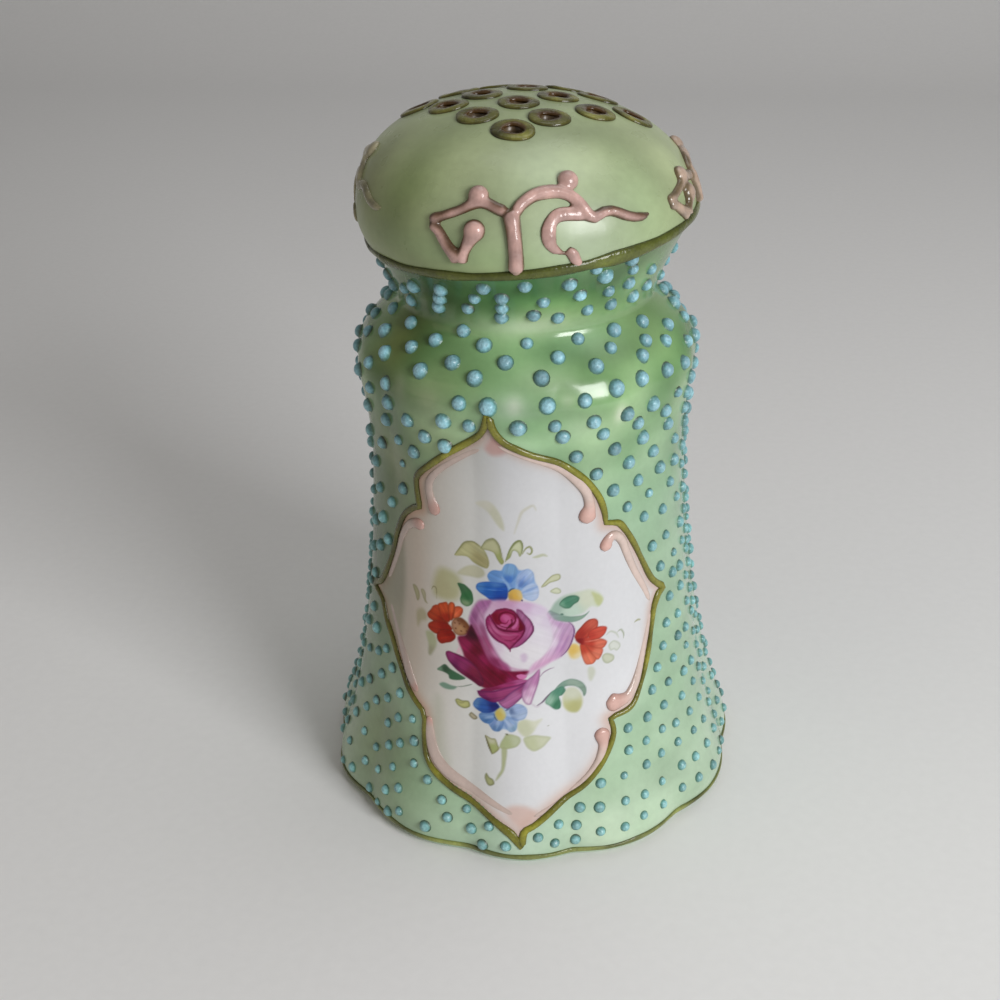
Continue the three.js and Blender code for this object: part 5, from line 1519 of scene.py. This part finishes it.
def rose_outer_petals(patch, line):
    """Pale petals behind the bloom."""
    patch([(-6.5, 46.9), (-2, 47.5), (3, 47.5), (8, 47.1), (12, 46.2), (13.6, 45), (14.6, 43), (14.8, 41),
           (14, 39), (12, 37.4), (9, 36.2), (6.5, 35.4), (3.4, 34.8), (-1, 35.2), (-5, 37.4), (-7.4, 40),
           (-8.6, 43), (-8.4, 45.4)],
          [(0, 47, (186, 142, 176)), (6, 46.6, (198, 168, 200)), (10, 45.6, (208, 192, 214)),
           (2, 38, (218, 214, 220)), (8, 38, (220, 217, 222)), (10, 41.6, (216, 212, 220)),
           (-5, 39.4, (206, 186, 206)), (12.6, 43.6, (208, 196, 214)), (10, 44, (214, 206, 218))], soft=0.4,
          cover=0.95, streak=0.015, lie=-25)
    patch([(13, 44.9), (15.6, 43.6), (18.4, 43), (20.7, 42.7), (21.6, 42.1), (22, 41.4), (21.6, 40.3),
           (20.9, 39.1), (19.8, 38.1), (18.6, 37.3), (17, 36.6), (13, 35.9), (8, 34.9), (6, 34.4), (8, 36),
           (11.2, 37.2), (13.4, 38.6), (14.6, 40.4), (14.4, 42.2)],
          [(15.4, 42, (210, 194, 212)), (19, 40, (188, 148, 184)), (20.6, 41.8, (186, 150, 186)),
           (17.4, 38.2, (188, 144, 184)), (11, 36, (208, 172, 200)), (14.8, 39.4, (214, 200, 216)),
           (17, 42.6, (186, 150, 188))], soft=0.32, streak=0.06, lie=62)
    line([(20.2, 42.9), (21.5, 42.2), (22, 41.2), (21.5, 40), (20.3, 38.5), (18.8, 37.4), (17.3, 36.8)], 0.28,
         (122, 84, 128))
    line([(18.6, 41.6), (17.2, 39.6), (15.8, 38)], 0.5, (168, 128, 178), cover=0.4, soft=0.25)
    line([(20.2, 40.4), (18.6, 38.8), (17, 37.6)], 0.4, (156, 112, 166), cover=0.5, soft=0.2)


def rose_left_petal(patch, line):
    """The lilac petal that wraps the left side."""
    patch([(-5.6, 47.1), (-8, 47), (-10.4, 46.5), (-12.4, 45), (-13.5, 43.4), (-13.6, 42.4), (-12.6, 41.2),
           (-11, 39.6), (-9, 37.6), (-6.4, 35.6), (-3.4, 34.6), (0.6, 34.6), (0, 35.7), (-2.2, 36.6),
           (-4.4, 38.2), (-6.6, 40.2), (-7.8, 42.4), (-8, 44.4), (-6.4, 46)],
          [(-8, 46, (154, 98, 146)), (-11.6, 43.6, (132, 78, 120)), (-9.6, 41, (142, 80, 116)),
           (-7, 39, (150, 74, 112)), (-10, 39.6, (132, 52, 92)), (-4.6, 36, (128, 42, 84)),
           (0, 35, (150, 66, 112)), (-3.4, 37.6, (178, 124, 158)), (-8.4, 43.6, (178, 138, 168))],
          edge=((138, 80, 130), 0.3, 0.25), soft=0.4, streak=0.09, lie=-58)
    line([(-7.4, 45.8), (-9.6, 44.4), (-10.4, 42.4), (-9.4, 40.4), (-7, 38.2)], 0.5, (190, 146, 182),
         cover=0.35, soft=0.3)


def rose_dark_petals(patch, line):
    """The dark petals below it."""
    patch([(-13, 42), (-12, 41.4), (-10.4, 39.8), (-8.4, 37.8), (-6.2, 35.9), (-3, 34.9), (1, 34.7),
           (6.4, 34.8), (5.4, 33.7), (4.6, 33.2), (6.3, 32.9), (3, 32.2), (-1, 31.6), (-5, 30.9), (-9, 31),
           (-13, 32.2), (-14.6, 34.6), (-15.6, 36.6), (-17.6, 39.2), (-15, 39.9), (-14, 40.9)],
          [(-12.4, 40.4, (52, 14, 26)), (-14.8, 38, (126, 28, 68)), (-11, 37.4, (92, 12, 34)),
           (-5, 34, (96, 8, 32)), (-2, 33.4, (98, 6, 32)), (2, 34.2, (116, 16, 54)), (-9, 33, (112, 20, 50)),
           (-12.4, 35, (104, 16, 44)), (1, 32.9, (136, 34, 84)), (-8, 36.2, (132, 26, 72)),
           (-3.4, 34.8, (124, 20, 60))], edge=((88, 12, 42), 0.3, 0.25), soft=0.26, streak=0.12, lie=-40)
    patch([(2.6, 33.9), (4, 34.2), (5.8, 34), (5.6, 33.5), (3.8, 33.3)], [(4.4, 33.7, (200, 112, 164))],
          soft=0.1)
    patch([(-17.9, 39), (-16.6, 37.2), (-15.4, 36), (-13.9, 35.5), (-15.6, 36.1), (-18, 36.4), (-17.2, 37.6)],
          [(-17, 37.4, (200, 150, 168))], soft=0.15, cover=0.6)
    patch([(-21.8, 35.9), (-20.8, 36.4), (-18.8, 36.3), (-16.8, 36.1), (-15, 35.8), (-12.4, 35.1),
           (-9.6, 33.6), (-8.2, 31.8), (-9.6, 31), (-12, 31.6), (-15, 32.4), (-17.6, 33.2), (-19.5, 34),
           (-21, 34.8)],
          [(-19.4, 35.6, (128, 46, 96)), (-15.6, 34.4, (124, 42, 86)), (-17.4, 35.7, (112, 28, 78)),
           (-11.4, 33.4, (118, 32, 60)), (-13, 32.3, (88, 14, 44)), (-18.6, 33.9, (86, 24, 66))],
          edge=((78, 16, 50), 0.28, 0.6), streak=0.1, lie=-28)


def rose_petal_fan(patch, line):
    """The fan of petals at the bottom."""
    patch([(6.4, 33.1), (3, 33.2), (-1, 32.4), (-5, 31.4), (-8.4, 30.7), (-9.4, 30.2), (-7, 30.2), (-3.6, 31),
           (0.4, 31.6), (3.4, 32.2)],
          [(0, 32, (146, 48, 98)), (-5, 31, (126, 30, 74)), (4.6, 32.8, (168, 84, 136))], soft=0.12,
          streak=0.08, lie=14)
    patch([(6, 32.8), (2.6, 32.2), (-1, 31.6), (-5, 30.7), (-9.8, 30.2), (-10.4, 29.9), (-9.6, 29.2),
           (-7.6, 28.8), (-4.8, 28.6), (-2, 29.2), (1.6, 30.8)],
          [(-6.4, 29.8, (140, 50, 98)), (-2, 30.6, (150, 62, 110)), (2.6, 31.9, (152, 68, 116)),
           (-7, 29, (96, 24, 80))], edge=((84, 18, 74), 0.25, 0.65), streak=0.1, lie=22)
    patch([(6, 32.5), (3.4, 31.8), (0.4, 30.6), (-1.6, 29.4), (-3.2, 28.8), (-1.8, 28), (-0.4, 27.8),
           (1, 28.2), (3, 29.2), (4.6, 30.2), (5, 31.2)],
          [(-0.8, 28.6, (164, 98, 144)), (2.4, 30.2, (166, 98, 144)), (4.6, 31.6, (144, 62, 110))],
          edge=((92, 40, 92), 0.2, 0.7), streak=0.08, lie=38)
    patch([(6.2, 33.2), (8, 34), (10, 35), (10, 33.4), (9.2, 31.8), (8.4, 30.6), (7.6, 29.4), (7, 28.7),
           (5.6, 28.8), (4.4, 29.8), (4.3, 31.2), (5, 32.2)],
          [(6.6, 31, (198, 154, 188)), (8.8, 33, (178, 122, 166)), (6.6, 29.4, (214, 194, 210)),
           (5.2, 31.8, (156, 96, 144)), (7.6, 31.2, (208, 178, 202))], edge=((128, 78, 122), 0.2, 0.75),
          soft=0.15, streak=0.06, lie=70)
    line([(5.6, 34), (8.6, 35), (12, 36), (15.6, 37.2)], 0.9, (196, 146, 184), cover=0.55, soft=0.4)
    line([(10, 33.5), (11.3, 34.3), (13.2, 34.8), (15, 35)], 0.2, (146, 122, 146), cover=0.9)
    line([(7.4, 28.8), (9, 28.2), (10.4, 28.8)], 0.25, (176, 156, 176), cover=0.5, soft=0.2)


def rose_bud(patch, line):
    """The bud at the heart."""
    plum = (110, 20, 70)
    patch([(2.8, 45.9), (4.4, 45.8), (5.8, 44.9), (7.2, 44), (8, 43.2), (8.3, 42.3), (7.7, 41.5), (6.6, 40.7),
           (5.1, 39.9), (3.4, 39.2), (1.7, 38.9), (0.4, 38.6), (1.6, 39.6), (3.4, 40.6), (5, 41.8),
           (5.5, 42.6), (4.6, 43.8), (3.4, 44.6)],
          [(6.6, 42.6, (168, 100, 146)), (4.6, 44.8, (152, 96, 136)), (3, 39.7, (150, 66, 116))],
          edge=((112, 50, 92), 0.2, 0.75), streak=0.08, lie=70)
    patch([(-4, 45.5), (-1.7, 45.9), (0, 45.9), (1.5, 45.7), (2.6, 45.2), (3.6, 44.4), (4.8, 43.4),
           (5.6, 42.5), (5.1, 41.6), (4, 40.6), (2.6, 39.9), (1.2, 39.1), (0.4, 38.6), (-1.5, 39.5),
           (-3.4, 39.9), (-5.2, 40.6), (-6.8, 41.5), (-7.4, 42.4), (-7.7, 43.3), (-7.1, 44.1), (-5.7, 44.6)],
          [(-5.4, 42, (172, 88, 130)), (0, 40.6, (158, 58, 104)), (4, 41.2, (150, 50, 98)),
           (-2.6, 44.4, (112, 12, 40)), (2.4, 43.6, (150, 50, 96)), (0, 45.4, (124, 22, 60)),
           (-6.8, 43.2, (140, 40, 92))], edge=(plum, 0.25, 0.7), streak=0.1, lie=-20)
    patch([(-5.4, 44.5), (-4.4, 43.1), (-2.4, 42.9), (-0.6, 43.2), (1, 44), (2, 45), (0, 45.5), (-2.6, 45.4)],
          [(-4, 44.1, (112, 8, 36)), (-1, 45, (136, 26, 66)), (0.6, 44.6, (158, 54, 98))], soft=0.15)
    patch([(-3.6, 42.6), (-2, 42.3), (-0.4, 42.3), (0.4, 42.8), (-0.8, 43.2), (-2.6, 43)],
          [(-2, 42.7, (178, 86, 134))], soft=0.12)
    patch([(1.3, 42.4), (2.4, 42.5), (3.3, 43.2), (3.4, 44), (2.6, 44.3), (1.5, 43.6)],
          [(2.3, 43.2, (184, 92, 142))], soft=0.12)
    patch([(-2.6, 44.2), (-1.4, 44.9), (0.4, 44.7), (1.2, 43.8), (0.2, 43), (-1.4, 43), (-2.4, 43.5)],
          [(-0.8, 44, (190, 92, 142)), (-1.8, 43.6, (160, 46, 100))], soft=0.16)
    line([(-4.7, 44.6), (-3.6, 43.1), (-1.8, 42.6), (0.2, 42.6), (1.8, 43.2), (2.5, 44.2), (1.7, 45),
          (-0.6, 45.3), (-2.6, 44.8), (-3, 43.9), (-2, 43.3), (-0.6, 43.3), (0.2, 43.9)], 0.32, (96, 4, 38),
         cover=0.85)
    patch([(3.4, 42.2), (5.2, 42.3), (5.3, 43), (4.4, 43.9), (3.6, 44), (3.7, 43)], [(4.4, 43, (98, 6, 30))],
          soft=0.12)
    line([(-6.4, 44.5), (-4.8, 43.1), (-3.4, 42.3), (-1.7, 42), (0, 41.9), (2.3, 41.9), (4.4, 42.1),
          (5.3, 42.5)], 0.42, (96, 10, 50))
    line([(-6.3, 43.7), (-5, 42.3), (-3, 41.4), (0, 41.2), (3, 41.4)], 0.4, (186, 106, 148), cover=0.55,
         soft=0.15)
    line([(1, 44.1), (1.4, 43.4), (0.4, 42.8), (-0.6, 42.2)], 0.3, (84, 4, 32))
    line([(-4, 45.5), (-1.7, 45.9), (0, 45.9), (1.5, 45.7), (2.6, 45.2), (3.6, 44.4), (4.6, 43.6),
          (5.4, 42.8), (5.3, 42), (4.4, 41), (2.9, 40.1), (1.4, 39.2), (0.4, 38.6)], 0.3, (98, 14, 52))
    line([(-7.7, 43.4), (-7.3, 42.2), (-6.4, 41.3), (-5, 40.5), (-3.2, 39.9), (-1.3, 39.5), (0.5, 38.6),
          (0.6, 38.2)], 0.38, plum)
    line([(3.4, 45.8), (5.7, 44.9), (7.2, 44), (8.1, 43), (8.3, 42.2), (7.6, 41.4), (6.2, 40.5), (4.6, 39.7),
          (2.6, 39.1)], 0.26, (104, 44, 86))
    line([(-6.2, 42.6), (-4.6, 41.4), (-2.2, 40.7)], 0.3, (122, 22, 72), cover=0.6)
    line([(-1.2, 40.2), (1.4, 40.3), (3.4, 41.2)], 0.3, (112, 14, 58), cover=0.6)
    patch([(4, 37.6), (5.4, 38), (6.2, 37.4), (5.8, 36.6), (4.6, 36.5)], [(5.1, 37.2, (190, 164, 194))],
          soft=0.35, cover=0.6)
    line([(-3, 36.2), (0, 35.4), (3, 35), (6, 35)], 0.5, (170, 110, 150), cover=0.5, soft=0.25)


bouquet_sections = [
    panel_shade, pale_leaves, side_leaves, edge_sprigs, lower_leaves, upper_blue_flower, lower_blue_flower,
    left_orange_flower, right_orange_flower, rose_outer_petals, rose_left_petal, rose_dark_petals,
    rose_petal_fan, rose_bud,
]


def panel_sheet():
    columns = np.concatenate([np.arange(-63, -38, 0.8), np.arange(-38, 48, 0.32), np.arange(48, 62, 0.8)])
    rows = np.concatenate([np.arange(3, 13, 0.4), np.arange(13, 66, 0.15), np.arange(66, 81, 0.4)])
    angle, height = np.meshgrid(columns, rows)
    place = np.stack([angle.ravel(), height.ravel()], axis=-1)
    distance = outline_distance(flat_place(place), flat_place(panel_outline(24)))
    faces = grid_faces(len(rows), len(columns))
    used, kept = np.unique(faces[distance[faces].mean(axis=1) < -0.05], return_inverse=True)
    place, distance = place[used], distance[used]
    sunk = np.where(distance > -0.35, 0.2, 0)
    points = body_point(place[:, 0], place[:, 1], sunk - panel_sheet_lift)
    piece = mesh_object("painted_panel", points, kept.reshape(-1, 4))
    canvas = Canvas(place, distance)
    for section in bouquet_sections:
        section(canvas.patch, canvas.line)
    paint(piece, canvas.colours)
    finish_piece(piece, "panel_glaze", ["body_casting"])


# Floor, camera and lights

def studio_floor():
    """Paper that runs level, bends and goes up behind."""
    reach, far, curve, back = 900.0, 500.0, 220.0, 900.0
    bend = np.radians(np.linspace(0, 90, 16))
    line = [(-reach, 0.0)] + [(far + curve * math.sin(t), curve * (1 - math.cos(t))) for t in bend]
    line.append((far + curve, back))
    points = [(side * reach, y, z) for side in (-1, 1) for y, z in line]
    count = len(line)
    faces = [[i, i + 1, count + i + 1, count + i] for i in range(count - 1)]
    floor = mesh_object("studio_floor", points, faces)
    floor.data.shade_smooth()
    material, tree, shader = new_material("studio_paper", {"Roughness": 0.9, "Specular IOR Level": 0.2})
    tree.links.new(spread(tree, noise(tree, 0.5, 2), 0.8, 0.84, (0, 1)), shader.inputs["Base Color"])
    floor.data.materials.append(material)


def studio_camera():
    yaw, pitch, roll = map(math.radians, (camera_yaw, camera_pitch, camera_roll))
    ahead = Vector((math.sin(yaw) * math.cos(pitch), math.cos(yaw) * math.cos(pitch), -math.sin(pitch)))
    level = Vector((math.cos(yaw), -math.sin(yaw), 0))
    upright = level.cross(ahead)
    right = level * math.cos(roll) + upright * math.sin(roll)
    up = upright * math.cos(roll) - level * math.sin(roll)
    lens = bpy.data.cameras.new("camera")
    lens.lens = lens_length
    lens.sensor_width = sensor_width
    lens.clip_start = 0.01
    lens.clip_end = 20
    camera = bpy.data.objects.new("camera", lens)
    turn = Matrix((right, up, -ahead)).transposed()
    camera.matrix_world = Matrix.Translation(Vector(camera_place) * METRES) @ turn.to_4x4()
    bpy.context.scene.collection.objects.link(camera)
    bpy.context.scene.camera = camera


def studio_light():
    world = bpy.data.worlds.new("studio")
    bpy.context.scene.world = world
    world.use_nodes = True
    sky = world.node_tree.nodes["Background"]
    sky.inputs["Color"].default_value = sky_colour
    sky.inputs["Strength"].default_value = sky_strength
    for name, place, size, power, colour in lamps:
        lamp = bpy.data.lights.new(name, "AREA")
        lamp.shape = "RECTANGLE"
        lamp.size, lamp.size_y = size[0] * METRES, size[1] * METRES
        lamp.energy = power
        lamp.color = colour
        light = bpy.data.objects.new(name, lamp)
        turn = (Vector(lamp_target) - Vector(place)).to_track_quat("-Z", "Y").to_matrix()
        light.matrix_world = Matrix.Translation(Vector(place) * METRES) @ turn.to_4x4()
        bpy.context.scene.collection.objects.link(light)


body_shell()
cap_shell()
panel_sheet()
panel_line()
foot_line()
seam_line()
for number, row in enumerate(zip(blush_strokes, blush_heights, blush_shade_shares), 1):
    blush(number, *row)
for row in scroll_place_shares:
    scroll(*row)
pin_rims()
for zone, found in bead_places().items():
    bead_group(zone, found)
studio_floor()
studio_camera()
studio_light()
bpy.context.scene.view_settings.view_transform = "Standard"
